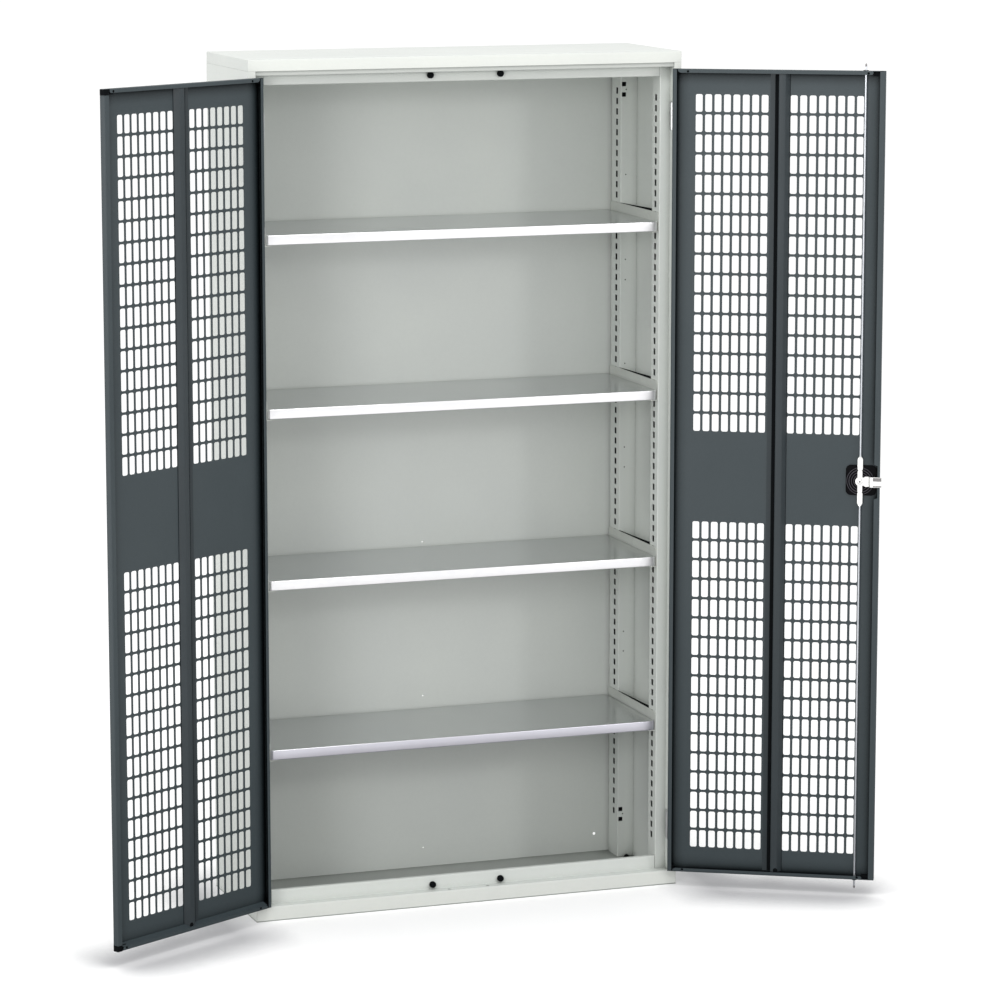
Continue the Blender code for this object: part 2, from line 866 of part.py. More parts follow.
def make_escutcheon(parent):
    """The outer plate behind the handle."""
    half = HOUSING_SIZE / 2
    start = -GAP - ESCUTCHEON_THICKNESS
    low = lock_place(-half, start, -half)
    high = lock_place(half, -GAP, half)
    mesh = rounded_plate("lock_escutcheon", low, high, HOUSING_CORNER)
    plate = finished("lock_escutcheon", mesh, BLACK, parent)
    bore_spindle(plate, start, -GAP)


def handle_inner():
    """How far out the handle's inner face lies, as an inward distance."""
    return -ESCUTCHEON_THICKNESS - GAP - GAP


def make_spindle(parent):
    """The shaft between handle and cam."""
    start = lock_place(0.0, handle_inner() + GAP, 0.0)
    end = lock_place(0.0, CAM_START - GAP, 0.0)
    mesh = round_mesh("lock_spindle", start, end, SPINDLE_RADIUS, PLAIN_SIDES)
    finished("lock_spindle", mesh, BRIGHT_ZINC, parent)


def make_cam(parent):
    """The cam with two ears for the rods and a jogged tongue."""
    tongue_end = LOCK_FROM_FREE + TONGUE_PAST_EDGE
    tongue_face = DOOR_THICKNESS + TONGUE_CLEARANCE
    inner_start = CAM_HUB / 2
    points = [
        (inner_start, CAM_START),
        (TONGUE_INNER, CAM_START),
        (TONGUE_INNER + TONGUE_SLOPE, tongue_face),
        (tongue_end, tongue_face),
    ]
    path = [(-across, inward) for across, inward in reversed(points)]
    half = TONGUE_HEIGHT / 2
    cam = folded("lock_cam", path, "XY", -half, half, BRIGHT_ZINC, parent, CAM_SHEET)
    end = CAM_START + CAM_SHEET
    join_round(cam, lock_place(0.0, CAM_START, 0.0), lock_place(0.0, end, 0.0), CAM_HUB)
    ear = CAM_EAR_WIDTH / 2
    join_box(
        cam,
        lock_place(-ear, CAM_START, -CAM_EAR_LENGTH),
        lock_place(ear, end, CAM_EAR_LENGTH),
    )
    nut_start = lock_place(0.0, end + GAP, 0.0)
    nut_end = lock_place(0.0, end + GAP + NUT_THICKNESS, 0.0)
    nut = round_mesh("lock_nut", nut_start, nut_end, NUT_RADIUS, 6)
    finished("lock_nut", nut, BRIGHT_ZINC, parent)


def make_handle(parent):
    """The turning grip outside the door, bored for the key barrel."""
    inner = handle_inner()
    outer = inner - HANDLE_DEPTH
    half_width = HANDLE_WIDTH / 2
    half_length = HANDLE_LENGTH / 2
    low = lock_place(-half_width, outer, -half_length)
    high = lock_place(half_width, inner - HANDLE_EDGE, half_length)
    mesh = rounded_plate("lock_handle", low, high, HANDLE_EDGE)
    handle = finished("lock_handle", mesh, BLACK, parent)
    hub_end = lock_place(0.0, outer + HANDLE_EDGE, 0.0)
    join_round(handle, lock_place(0.0, inner, 0.0), hub_end, HANDLE_HUB)
    bottom = lock_place(0.0, outer + BARREL_DEPTH, 0.0)
    mouth = lock_place(0.0, outer - OVERRUN, 0.0)
    cut_round(handle, bottom, mouth, BARREL_FACE_RADIUS + GAP)


def make_barrel(turning):
    """The key barrel in the handle."""
    parent = pivot("lock_barrel_axis", (0.0, 0.0, 0.0), turning)
    outer = handle_inner() - HANDLE_DEPTH
    face = outer - BARREL_PROUD
    start = lock_place(0.0, outer + BARREL_DEPTH - GAP, 0.0)
    mesh = round_mesh("lock_barrel", start, lock_place(0.0, face, 0.0), BARREL_FACE_RADIUS)
    barrel = finished("lock_barrel", mesh, BRIGHT_ZINC, parent)
    cut(barrel, (
        lock_place(-KEY_SLOT_WIDTH / 2, face - OVERRUN, -KEY_SLOT_LENGTH / 2),
        lock_place(KEY_SLOT_WIDTH / 2, face + KEY_SLOT_DEPTH, KEY_SLOT_LENGTH / 2),
    ))


def make_rod(way, name, door, door_end, reach):
    """A locking rod with a flat blade at the lock and a round tip."""
    along = DOOR_WIDTH - LOCK_FROM_FREE
    centre = door_place(1, along, ROD_INSET, LOCK_HEIGHT)
    parent = pivot(name + "_axis", centre, door)
    blade_end = way * ROD_BLADE_END
    tip = door_end + way * reach - LOCK_HEIGHT
    blade_low = lock_place(-ROD_BLADE_WIDTH / 2, -ROD_BLADE_SHEET / 2, way * ROD_BLADE_START)
    blade_high = lock_place(ROD_BLADE_WIDTH / 2, ROD_BLADE_SHEET / 2, blade_end)
    start = lock_place(0.0, 0.0, blade_end - way * ROD_BLADE_BITE)
    mesh = round_mesh(name, start, lock_place(0.0, 0.0, tip), ROD_RADIUS, PLAIN_SIDES)
    rod = finished(name, mesh, BRIGHT_ZINC, parent)
    join_box(rod, blade_low, blade_high)


def make_guide(way, name, door, panel, door_end):
    """A flanged bush that carries a rod through the door's end flange."""
    along = DOOR_WIDTH - LOCK_FROM_FREE
    seat = door_end + way * GAP
    outer = seat + way * GUIDE_FLANGE_SHEET
    inner = outer - way * GUIDE_LENGTH
    start = door_place(1, along, ROD_INSET, inner)
    end = door_place(1, along, ROD_INSET, outer)
    mesh = round_mesh(name, start, end, GUIDE_RADIUS)
    guide = finished(name, mesh, BLACK, door)
    join_round(guide, door_place(1, along, ROD_INSET, seat), end, GUIDE_FLANGE)
    first = door_place(1, along, ROD_INSET, inner - way * OVERRUN)
    last = door_place(1, along, ROD_INSET, outer + way * OVERRUN)
    cut_round(guide, first, last, ROD_RADIUS + GUIDE_CLEARANCE, PLAIN_SIDES)
    hole_start = door_place(1, along, ROD_INSET, door_end - way * (SHEET + OVERRUN))
    cut_round(panel, hole_start, last, GUIDE_RADIUS + GAP)


def fit_lock_to_panel(panel):
    """The spindle's hole and the notch in the free lip for the housing."""
    along = DOOR_WIDTH - LOCK_FROM_FREE
    radius = SPINDLE_RADIUS + SPINDLE_CLEARANCE
    start = door_place(1, along, -OVERRUN, LOCK_HEIGHT)
    end = door_place(1, along, SHEET + OVERRUN, LOCK_HEIGHT)
    cut_round(panel, start, end, radius, PLAIN_SIDES)
    lip_edge = DOOR_WIDTH - FREE_LIP
    reach = HOUSING_SIZE / 2 + LIP_NOTCH_MARGIN
    cut(panel, door_box(
        1,
        (lip_edge - OVERRUN, lip_edge + LIP_NOTCH),
        (DOOR_THICKNESS - SHEET - OVERRUN, DOOR_THICKNESS + OVERRUN),
        (LOCK_HEIGHT - reach, LOCK_HEIGHT + reach),
    ))


def make_door(side, label):
    """One door with its stiffener and hinges, hung open."""
    angle = side * math.radians(DOOR_OPEN_DEG)
    axis = (side * HINGE_X, HINGE_Y, 0.0)
    door = pivot("door_axis_" + label, axis, None, angle)
    panel = make_door_panel(side, "door_panel_" + label, door)
    make_stiffener(side, "door_stiffener_" + label, door)
    make_hinge(side, "lower", DOOR_BOTTOM + HINGE_END_INSET, door)
    make_hinge(side, "upper", DOOR_TOP - HINGE_END_INSET, door)
    return door, panel


def main():
    make_floor()
    make_back()
    make_roof()
    make_header()
    make_plinth()
    for side, label in ((-1, "left"), (1, "right")):
        make_side(side, "side_panel_" + label)
        make_post(side, "front_post_" + label, RAIL_Y, FRONT_POST_DEPTH, FRONT_SLOT_INSET)
        make_post(side, "rear_post_" + label, REAR_POST_Y, REAR_POST_DEPTH, REAR_SLOT_INSET)
        make_bumper(side, "top", SOFFIT - BUMPER_TOP_INSET)
        make_bumper(side, "bottom", PLINTH_BAND + BUMPER_BOTTOM_INSET)
        make_floor_cap(side)
    for index, top in enumerate(SHELF_TOPS):
        make_shelf(index + 1, top)
        make_bracket(-1, index + 1, top)
        make_bracket(1, index + 1, top)
    make_door(-1, "left")
    right_door, right_panel = make_door(1, "right")
    fit_lock_to_panel(right_panel)
    make_lock(right_door)
    make_rod(1, "lock_rod_upper", right_door, DOOR_TOP, ROD_TOP_REACH)
    make_rod(-1, "lock_rod_lower", right_door, DOOR_BOTTOM, ROD_BOTTOM_REACH)
    make_guide(1, "rod_guide_upper", right_door, right_panel, DOOR_TOP)
    make_guide(-1, "rod_guide_lower", right_door, right_panel, DOOR_BOTTOM)


main()
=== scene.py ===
import math
import re
from types import SimpleNamespace as Sizes

import bmesh
import bpy
from mathutils import Matrix, Vector
from mathutils.geometry import delaunay_2d_cdt


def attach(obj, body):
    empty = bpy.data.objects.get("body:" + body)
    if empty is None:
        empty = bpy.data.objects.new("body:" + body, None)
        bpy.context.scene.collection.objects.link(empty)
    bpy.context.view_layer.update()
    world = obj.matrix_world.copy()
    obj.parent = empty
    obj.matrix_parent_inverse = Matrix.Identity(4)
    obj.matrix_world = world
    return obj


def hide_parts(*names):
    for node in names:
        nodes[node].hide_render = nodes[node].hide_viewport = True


# Two-door ventilated storage cabinet. Both doors stand open and the lock is thrown.
# Sizes are millimetres here and become metres as the points are placed.
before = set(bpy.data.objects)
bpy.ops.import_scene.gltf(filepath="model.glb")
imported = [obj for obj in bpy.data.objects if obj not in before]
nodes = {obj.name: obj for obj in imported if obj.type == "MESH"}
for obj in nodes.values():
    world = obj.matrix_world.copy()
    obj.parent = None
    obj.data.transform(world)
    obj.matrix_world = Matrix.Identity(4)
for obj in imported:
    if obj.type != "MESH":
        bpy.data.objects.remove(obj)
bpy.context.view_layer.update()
mm = 0.001
tiny = 1e-4                 # lengths and angles under this count as none
nearness = 1e-5             # points of one sheet that are nearer than this are one
quarterTurn = math.radians(90)
sides = ((-1, "Left"), (1, "Right"))

cabinet = Sizes(
    width=1050, depth=350, height=2000,
    sheet=1.2,              # carcass and door steel
    floorSheet=2,
    gap=0.3,                # running gap between separate sheets
    bend=0.9,               # inside radius of a fold
    edge=0.25,              # what the punch rolls off an edge
    skirt=26.5, headerFace=10.5, headerRail=23,
    plinthBand=35, plinthRail=31,
    strip=18, recess=27, railReturn=12,
    postWidth=43)
sheet, gap = cabinet.sheet, cabinet.gap
half = cabinet.width / 2
frontY, backY = -cabinet.depth / 2, cabinet.depth / 2
stand = cabinet.floorSheet + gap
skirtBottom = cabinet.height - cabinet.skirt
wallTop = skirtBottom - gap
soffit = skirtBottom - cabinet.headerFace
headerBottom = soffit - cabinet.headerRail
plinthTop = cabinet.plinthBand + cabinet.plinthRail
wallX = half - sheet - gap  # where a piece between the side walls ends
returnX = half - cabinet.strip
postX = half - cabinet.postWidth
railY = frontY + cabinet.recess
turnStart = sheet + cabinet.bend     # where a fold's outer radius ends
print("frame loaded:", len(nodes), "nodes")


# Points, loops and folds

def faceOf(origin, order, side=1, swing=None):
    # a place in space from three lengths, measured in the ways that order names;
    # out is away from the cabinet's middle on the given side
    ways = {"out": (side, 0, 0), "in": (-side, 0, 0), "back": (0, 1, 0), "front": (0, -1, 0),
            "up": (0, 0, 1), "down": (0, 0, -1)}
    base, (a, b, c) = Vector(origin), [Vector(ways[word]) for word in order.split()]

    def place(u, v, n=0.0):
        point = (base + a * u + b * v + c * n) * mm
        return swing @ point if swing else point
    return place


def rectangle(left, bottom, right, top):
    return [(left, bottom), (right, bottom), (right, top), (left, top)]


def roundHole(at, size, steps=4):
    return dict(at=at, size=(size, size), corner=size / 2, steps=steps)


def cornerPoints(centre, wide, high, radius, steps):
    # round the four corners of a rectangle that is given by its half sizes
    for quarter, (signU, signV) in enumerate(((1, 1), (-1, 1), (-1, -1), (1, -1))):
        middle = Vector((centre[0] + signU * (wide - radius), centre[1] + signV * (high - radius)))
        for step in range(steps + 1):
            angle = quarterTurn * (quarter + step / steps)
            yield middle + Vector((math.cos(angle), math.sin(angle))) * radius


def loopOf(item, grow):
    # the points of an outline or a hole; a hole can be grown by its rolled edge
    if not isinstance(item, dict):
        return [Vector(point) for point in item]
    wide, high = item["size"][0] / 2 + grow, item["size"][1] / 2 + grow
    loop = []
    for point in cornerPoints(item["at"], wide, high, item["corner"] + grow, item.get("steps", 4)):
        if not loop or (point - loop[-1]).length > tiny:
            loop.append(point)
    if (loop[0] - loop[-1]).length < tiny:
        loop.pop()
    return loop


def holds(loop, point):
    # whether a point lies inside a loop
    inside = False
    for a, b in zip(loop, loop[1:] + loop[:1]):
        crosses = (a.y > point.y) != (b.y > point.y)
        if crosses and point.x < a.x + (point.y - a.y) * (b.x - a.x) / (b.y - a.y):
            inside = not inside
    return inside


def punchedSheet(shape, place, outline, holes=(), thick=sheet, edge=cabinet.edge):
    # a flat sheet with punched holes, whose edges are rolled by the punch
    walls = [loopOf(outline, 0.0)] + [loopOf(hole, 0.0) for hole in holes]
    faces = [loopOf(outline, -edge)] + [loopOf(hole, edge) for hole in holes]
    points, seams = [], []
    for loop in faces:
        start = len(points)
        points += loop
        seams += [(start + i, start + (i + 1) % len(loop)) for i in range(len(loop))]
    owner = [number for number, loop in enumerate(faces) for point in loop]
    insideSeams = 1
    found = delaunay_2d_cdt(points, seams, [], insideSeams, nearness)
    source = [ids[0] for ids in found[3]]
    wallPoints = [point for loop in walls for point in loop]
    layers = []
    for depth, flat in ((0, points), (edge, wallPoints), (thick - edge, wallPoints), (thick, points)):
        layers.append([shape.verts.new(place(p.x, p.y, depth)) for p in flat])
    for corners in found[2]:
        ids = [source[i] for i in corners]
        if owner[ids[0]] == owner[ids[1]] == owner[ids[2]]:
            # all three corners on one loop: outside the sheet or across a hole
            middle = sum((points[i] for i in ids), Vector((0, 0))) / 3
            if owner[ids[0]] or not holds(faces[0], middle):
                continue
        shape.faces.new([layers[0][i] for i in ids])
        shape.faces.new([layers[3][i] for i in reversed(ids)])
    for a, b in seams:
        for upper, lower in zip(layers, layers[1:]):
            shape.faces.new((upper[a], lower[a], lower[b], upper[b]))


def bentLine(points, thick, bend):
    # both faces of a folded sheet, with the metal on the left of the line
    degreesPerStep = 18
    line = [Vector(point) for point in points]
    near, far = [], []
    for i, here in enumerate(line):
        before = (here - line[i - 1]).normalized() if i else (line[1] - here).normalized()
        after = (line[i + 1] - here).normalized() if i < len(line) - 1 else before
        left = Vector((-before.y, before.x))
        angle = math.atan2(before.x * after.y - before.y * after.x, before.dot(after))
        if abs(angle) < tiny:
            near.append(here)
            far.append(here + left * thick)
            continue
        sign = 1 if angle > 0 else -1
        radius = bend + thick if angle > 0 else bend
        centre = here - before * radius * math.tan(abs(angle) / 2) + left * radius * sign
        steps = max(2, math.ceil(abs(math.degrees(angle)) / degreesPerStep))
        for step in range(steps + 1):
            normal = left.copy()
            normal.rotate(Matrix.Rotation(angle * step / steps, 2))
            near.append(centre - normal * radius * sign)
            far.append(near[-1] + normal * thick)
    return near, far


def joinRings(shape, first, second):
    # a band of faces between two closed rings, or a fan where a ring is one point
    count = max(len(first), len(second))
    for j in range(count):
        near, far = [[ring[i % len(ring)] for i in (j, j + 1)] for ring in (first, second)]
        shape.faces.new(list(dict.fromkeys(near + far[::-1])))


def foldedStrip(shape, place, points, start, end, thick=sheet, bend=cabinet.bend):
    # a folded profile drawn out between two levels, place(u, v, level)
    lines = bentLine(points, thick, bend)
    rings = []
    for level in (start, end):
        near, far = [[shape.verts.new(place(p.x, p.y, level)) for p in line] for line in lines]
        rings.append(near + far[::-1])
        for i in range(len(near) - 1):
            shape.faces.new((near[i], near[i + 1], far[i + 1], far[i]))
    joinRings(shape, *rings)


def foldedPan(shape, place, low, high, profile, corner, bend, holes=()):
    # a flat sheet whose four edges are folded along one profile and mitred at the corners;
    # each point of the profile is a distance in from the edge and a depth
    turn = sheet + bend
    punchedSheet(shape, place, rectangle(low[0] + turn, low[1] + turn, high[0] - turn, high[1] - turn), holes)
    near, far = bentLine(profile, sheet, bend)
    centre = ((low[0] + high[0]) / 2, (low[1] + high[1]) / 2)
    wide, tall = (high[0] - low[0]) / 2, (high[1] - low[1]) / 2
    rings = []
    for inset, depth in near + far[::-1]:
        loop = cornerPoints(centre, wide - inset, tall - inset, max(corner - inset, 0.0), 3)
        rings.append([shape.verts.new(place(p.x, p.y, depth)) for p in loop])
    for ring, following in zip(rings, rings[1:] + rings[:1]):
        joinRings(shape, ring, following)


def turned(shape, place, profile, steps=32):
    # a profile of radius and height turned round its axis, place(x, y, height)
    rings = []
    for radius, rise in profile:
        angles = [math.tau * step / steps for step in range(steps if radius > tiny else 1)]
        circle = [(radius * math.cos(angle), radius * math.sin(angle)) for angle in angles]
        rings.append([shape.verts.new(place(x, y, rise)) for x, y in circle])
    for first, second in zip(rings, rings[1:]):
        joinRings(shape, first, second)


def lofted(shape, place, sections, steps=24):
    # rings of height, half width, half depth and squareness, closed at both ends
    rings = []
    for level, wide, deep, power in sections:
        ring = []
        for step in range(steps):
            angle = math.tau * (step + 0.5) / steps
            c, s = math.cos(angle), math.sin(angle)
            u = wide * math.copysign(abs(c) ** (2 / power), c)
            v = deep * math.copysign(abs(s) ** (2 / power), s)
            ring.append(shape.verts.new(place(u, v, level)))
        rings.append(ring)
    for first, second in zip(rings, rings[1:]):
        joinRings(shape, first, second)
    shape.faces.new(rings[0])
    shape.faces.new(rings[-1])


weldDistance = 2e-6
sharpAngle = math.radians(32)


def finishPiece(name, shape, material, body="carcass", node=None, slot=None, others=(), chosen=None):
    # weld the sheets, drop the walls hidden inside joints and hand the piece over;
    # it replaces the node with its own name, another node, or none where node is ""
    bmesh.ops.remove_doubles(shape, verts=shape.verts, dist=weldDistance)
    seen, hidden = {}, []
    for face in shape.faces:
        key = frozenset(face.verts)
        if key in seen:
            hidden += [face, seen[key]]
        seen[key] = face
    bmesh.ops.delete(shape, geom=list(set(hidden)), context="FACES")
    bmesh.ops.recalc_face_normals(shape, faces=shape.faces)
    mesh = bpy.data.meshes.new(name)
    shape.to_mesh(mesh)
    shape.free()
    mesh.shade_smooth()
    mesh.set_sharp_from_angle(angle=sharpAngle)
    for finish in (material, *others):
        mesh.materials.append(finish)
    if chosen:
        for face in mesh.polygons:
            face.material_index = int(chosen(face))
    piece = bpy.data.objects.new(name, mesh)
    bpy.context.scene.collection.objects.link(piece)
    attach(piece, body)
    if node is None:
        node = re.sub("(?<=[a-z])(?=[A-Z0-9])|(?<=[0-9])(?=[A-Z])", "_", name).lower()
    if node:
        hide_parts(node)


def coatNode(name, material):
    # a CAD node whose shape is right only takes its finish
    nodes[name].data.materials.clear()
    nodes[name].data.materials.append(material)


# Shader nodes

def tone(code):
    # sRGB hex to the linear values that Blender's sockets take
    parts = [int(code[i:i + 2], 16) / 255 for i in (1, 3, 5)]
    return tuple(p / 12.92 if p <= 0.04045 else ((p + 0.055) / 1.055) ** 2.4 for p in parts) + (1.0,)


def fillNode(tree, node, settings=None, links=None):
    for key, value in (settings or {}).items():
        if isinstance(key, int) or key in node.inputs:
            node.inputs[key].default_value = value
        else:
            setattr(node, key, value)
    for key, source in (links or {}).items():
        tree.links.new(source, node.inputs[key])
    return node


def addNode(tree, kind, settings=None, links=None):
    return fillNode(tree, tree.nodes.new(kind), settings, links)


def addNoise(tree, spot, size, detail, roughness=0.5):
    return addNode(tree, "ShaderNodeTexNoise", {
        "Scale": 1 / (size * mm), "Detail": detail, "Roughness": roughness}, {"Vector": spot}).outputs["Fac"]


def addRange(tree, value, source=(0.0, 1.0), target=(0.0, 1.0)):
    # one range of values stretched to another
    return addNode(tree, "ShaderNodeMapRange", {
        "From Min": source[0], "From Max": source[1], "To Min": target[0], "To Max": target[1]},
        {"Value": value}).outputs["Result"]


def addMix(tree, share, first, second):
    # from one colour to another, each a hex code or a node's output
    settings, links = {"data_type": "RGBA"}, {0: share}
    for key, colour in ((6, first), (7, second)):
        if isinstance(colour, str):
            settings[key] = tone(colour)
        else:
            links[key] = colour
    return addNode(tree, "ShaderNodeMix", settings, links).outputs[2]


def addMath(tree, operation, *values):
    # each value is a number or a node's output
    settings, links = {"operation": operation}, {}
    for key, value in enumerate(values):
        if isinstance(value, float):
            settings[key] = value
        else:
            links[key] = value
    return addNode(tree, "ShaderNodeMath", settings, links).outputs[0]


def addBump(tree, height, strength, distance):
    return addNode(tree, "ShaderNodeBump", {"Strength": strength, "Distance": distance * mm},
                   {"Height": height}).outputs["Normal"]


def newFinish(name):
    material = bpy.data.materials.new(name)
    material.use_nodes = True
    tree = material.node_tree
    spot = addNode(tree, "ShaderNodeTexCoord").outputs["Object"]
    return material, tree, tree.nodes["Principled BSDF"], spot


# Finishes

midNoise = (0.3, 0.7)       # where most values of a noise lie
speckNoise = (0.35, 0.75)
crystalNoise = (0.35, 0.65)
peelDepth, grainDepth = 0.3, 0.2    # of the bumps
paintedShadeSamples = 6


def powderCoat(name, look):
    # polyester powder baked on steel: an even satin skin with a faint orange peel,
    # slightly cloudy where the layer is thicker
    material, tree, shader, spot = newFinish(name)
    cloud = addNoise(tree, spot, look["cloudSize"], 3.0)
    # real orange peel is 1 to 2 mm across; it is drawn coarser here so that it shows
    peel = addNoise(tree, spot, look["peelSize"], 2.0, 0.55)
    speck = addNoise(tree, spot, look["speckSize"], 4.0, 0.7)
    base = addMix(tree, addRange(tree, cloud, midNoise), look["colour"], look["thick"])
    dust = addRange(tree, speck, speckNoise, (0.0, look["speckAmount"]))
    dusted = addMix(tree, dust, base, look["speck"])
    # painted shade: an ambient occlusion mask darkens inside corners, folds and recesses towards the painted
    # shade colour and lowers their sheen
    fold = addNode(tree, "ShaderNodeAmbientOcclusion", {
        "samples": paintedShadeSamples, "only_local": look["foldAlone"], "Distance": look["foldReach"] * mm})
    shadeFreeShare = addRange(tree, fold.outputs["AO"], look["foldRange"])
    fillNode(tree, shader, {"Specular IOR Level": look["specular"], "IOR": 1.5}, {
        "Base Color": addMix(tree, shadeFreeShare, look["foldColour"], dusted),
        "Roughness": addRange(tree, cloud, midNoise, look["rough"]),
        "Normal": addBump(tree, peel, look["peelStrength"], peelDepth),
        "Specular IOR Level": addMath(tree, "MULTIPLY", shadeFreeShare, look["specular"])})
    return material


def zincCoat(name, look):
    # zinc-plated sheet: a pale metal whose rolled grain and crystals break up what it
    # reflects, so that it looks silky and never like a mirror
    material, tree, shader, spot = newFinish(name)
    stretched = addNode(tree, "ShaderNodeMapping", {"Scale": look["grainStretch"]}, {"Vector": spot})
    grain = addNoise(tree, stretched.outputs["Vector"], look["grainSize"], 3.0, 0.6)
    crystalScale = {"Scale": 1 / (look["crystalSize"] * mm)}
    crystal = addNode(tree, "ShaderNodeTexVoronoi", crystalScale, {"Vector": spot}).outputs["Color"]
    facet = addNode(tree, "ShaderNodeRGBToBW", None, {"Color": crystal}).outputs["Val"]
    cloud = addNoise(tree, spot, look["cloudSize"], 2.0)
    share, (low, high) = look["crystalShare"], crystalNoise
    shaded = addRange(tree, addMath(tree, "MULTIPLY_ADD", facet, share, cloud), (low, high + share))
    fillNode(tree, shader, {"Metallic": look["metallic"]}, {
        "Base Color": addMix(tree, shaded, look["colour"], look["shade"]),
        "Roughness": addRange(tree, grain, midNoise, look["rough"]),
        "Normal": addBump(tree, grain, look["grainStrength"], grainDepth)})
    return material


def mouldedBlack(name, look):
    # moulded ABS or rubber: nearly black, with the fine pits of the mould's spark finish
    material, tree, shader, spot = newFinish(name)
    pits = addNoise(tree, spot, look["pitSize"], 3.0, 0.6)
    fillNode(tree, shader, {"IOR": look["ior"], "Specular IOR Level": look["specular"]}, {
        "Base Color": addMix(tree, pits, look["colour"], look["worn"]),
        "Roughness": addRange(tree, pits, target=look["rough"]),
        "Normal": addBump(tree, pits, look["pitStrength"], grainDepth)})
    return material


greyCoat = dict(
    slot="grey_powder_coat",
    colour="#D9DDD8", thick="#D5D9D5", speck="#C2C6C2", speckAmount=0.10, specular=0.5,
    # painted shade in the inside corners
    foldColour="#8A8F89", foldAlone=False, foldReach=40, foldRange=(0.15, 0.58),
    cloudSize=260, peelSize=5, speckSize=9, peelStrength=0.12, rough=(0.38, 0.46))
greyPowderCoat = powderCoat("greyPowderCoat", greyCoat)
# on the back panel the painted corner shade counts only its own sheet and reaches less far, so it is not
# darkened where it meets the walls
flatPowderCoat = powderCoat("flatPowderCoat", dict(greyCoat, foldAlone=True, foldReach=20))
# the header's face is painted a shade darker, a painted shade for the shadow under the cap's skirt
headerPowderCoat = powderCoat("headerPowderCoat", dict(
    greyCoat, colour="#C6CAC5", thick="#C2C6C1", speck="#B4B8B4", foldReach=20, foldRange=(0.2, 0.72)))
# the outermost front faces are painted a shade lighter, painted light for the light they catch from the front
frontPowderCoat = powderCoat("frontPowderCoat", dict(
    greyCoat, colour="#E3E6E0", thick="#DFE2DD", speck="#CACDC9",
    foldAlone=True, foldReach=20, foldRange=(0.2, 0.72)))
# the floor inside is painted darker, a painted shade for the dim bottom of the cabinet, with more dust
# specks, deeper painted corner shade and a rougher face
floorPowderCoat = powderCoat("floorPowderCoat", dict(
    greyCoat, colour="#BABEB9", thick="#B5B9B5", speck="#A4A8A4", speckAmount=0.20, specular=0.4,
    foldColour="#6E736E", foldReach=50, foldRange=(0.2, 0.80), cloudSize=180, rough=(0.44, 0.56)))
anthraciteCoat = dict(
    greyCoat, slot="anthracite_powder_coat",
    colour="#353F43", thick="#323C40", speck="#414B4F", speckAmount=0.16, specular=0.45,
    # near-black painted shade deep in the pan's folds and behind its lips
    foldColour="#040607", foldAlone=True, foldReach=36, foldRange=(0.44, 0.95),
    cloudSize=300, speckSize=7, peelStrength=0.16, rough=(0.42, 0.52))
anthracitePowderCoat = powderCoat("anthracitePowderCoat", anthraciteCoat)
# the stiffeners are drawn a tone darker than the doors
stiffenerPowderCoat = powderCoat("stiffenerPowderCoat", dict(
    anthraciteCoat, colour="#2D3539", thick="#2A3236", speck="#384145", specular=0.40))

shelfPlating = dict(
    slot="shelf_zinc", colour="#F4F4F5", shade="#ECECEE",
    grainSize=3, grainStretch=(0.05, 1.0, 1.0), crystalSize=16, cloudSize=180, crystalShare=0.25,
    rough=(0.30, 0.38), grainStrength=0.08, metallic=0.95)
shelfZinc = zincCoat("shelfZinc", shelfPlating)
# the shelves' upward faces are painted darker and made smoother, a painted shade for the dim interior they
# mirror
shelfZincDulled = zincCoat("shelfZincDulled", dict(
    shelfPlating, colour="#CBCDCD", shade="#C6C8C9", grainStretch=(0.04, 1.0, 1.0),
    cloudSize=240, crystalShare=0.08, rough=(0.20, 0.25), grainStrength=0.03))
# the lowest shelf is drawn a little darker and bluer, apart from its top
shelfZincBlue = zincCoat("shelfZincBlue", dict(shelfPlating, colour="#D9D8E1", shade="#D3D2DB"))
# a dull, almost painted-looking plating on the shelf brackets
bracketZinc = zincCoat("bracketZinc", dict(
    shelfPlating, slot="bracket_zinc", colour="#D9DCD6", shade="#CDD0CB", grainStretch=(1.0, 0.1, 1.0),
    crystalSize=12, cloudSize=120, rough=(0.36, 0.46), metallic=0.35))
lockPlating = dict(
    shelfPlating, slot="lock_zinc", colour="#F2F2F0", shade="#E4E4E3", grainSize=1.5,
    grainStretch=(1.0, 1.0, 0.3), crystalSize=6, cloudSize=60, crystalShare=0.15, rough=(0.26, 0.36),
    metallic=0.85)
lockZinc = zincCoat("lockZinc", lockPlating)
# the rods are drawn wire with a thinner, greyer plating
rodZinc = zincCoat("rodZinc", dict(lockPlating, colour="#D6D9DE", shade="#C9CCD2"))
# rolled steel leaves with a silky sheen
hingeSteel = zincCoat("hingeSteel", dict(
    shelfPlating, slot="hinge_steel", colour="#DADBDA", shade="#C9CACB", grainSize=2,
    grainStretch=(1.0, 1.0, 0.2), crystalSize=8, cloudSize=80, crystalShare=0.2, rough=(0.28, 0.40)))
# a dark grey steel; on the rods' tips beyond the door's ends it is painted shade
wornSteel = zincCoat("wornSteel", dict(
    lockPlating, colour="#8E8C8C", shade="#7C7A7B", grainSize=1, grainStretch=(1.0, 1.0, 1.0),
    crystalSize=4, cloudSize=20, crystalShare=0.2, rough=(0.45, 0.6), grainStrength=0.1, metallic=0.6))
# polished chrome, the only surface here that mirrors
barrelChrome = zincCoat("barrelChrome", dict(
    shelfPlating, slot="barrel_chrome", colour="#E8E9EA", shade="#DFE0E2", grainSize=1,
    grainStretch=(1.0, 1.0, 1.0), crystalSize=20, cloudSize=60, crystalShare=0.05, rough=(0.08, 0.14),
    grainStrength=0.02, metallic=1.0))

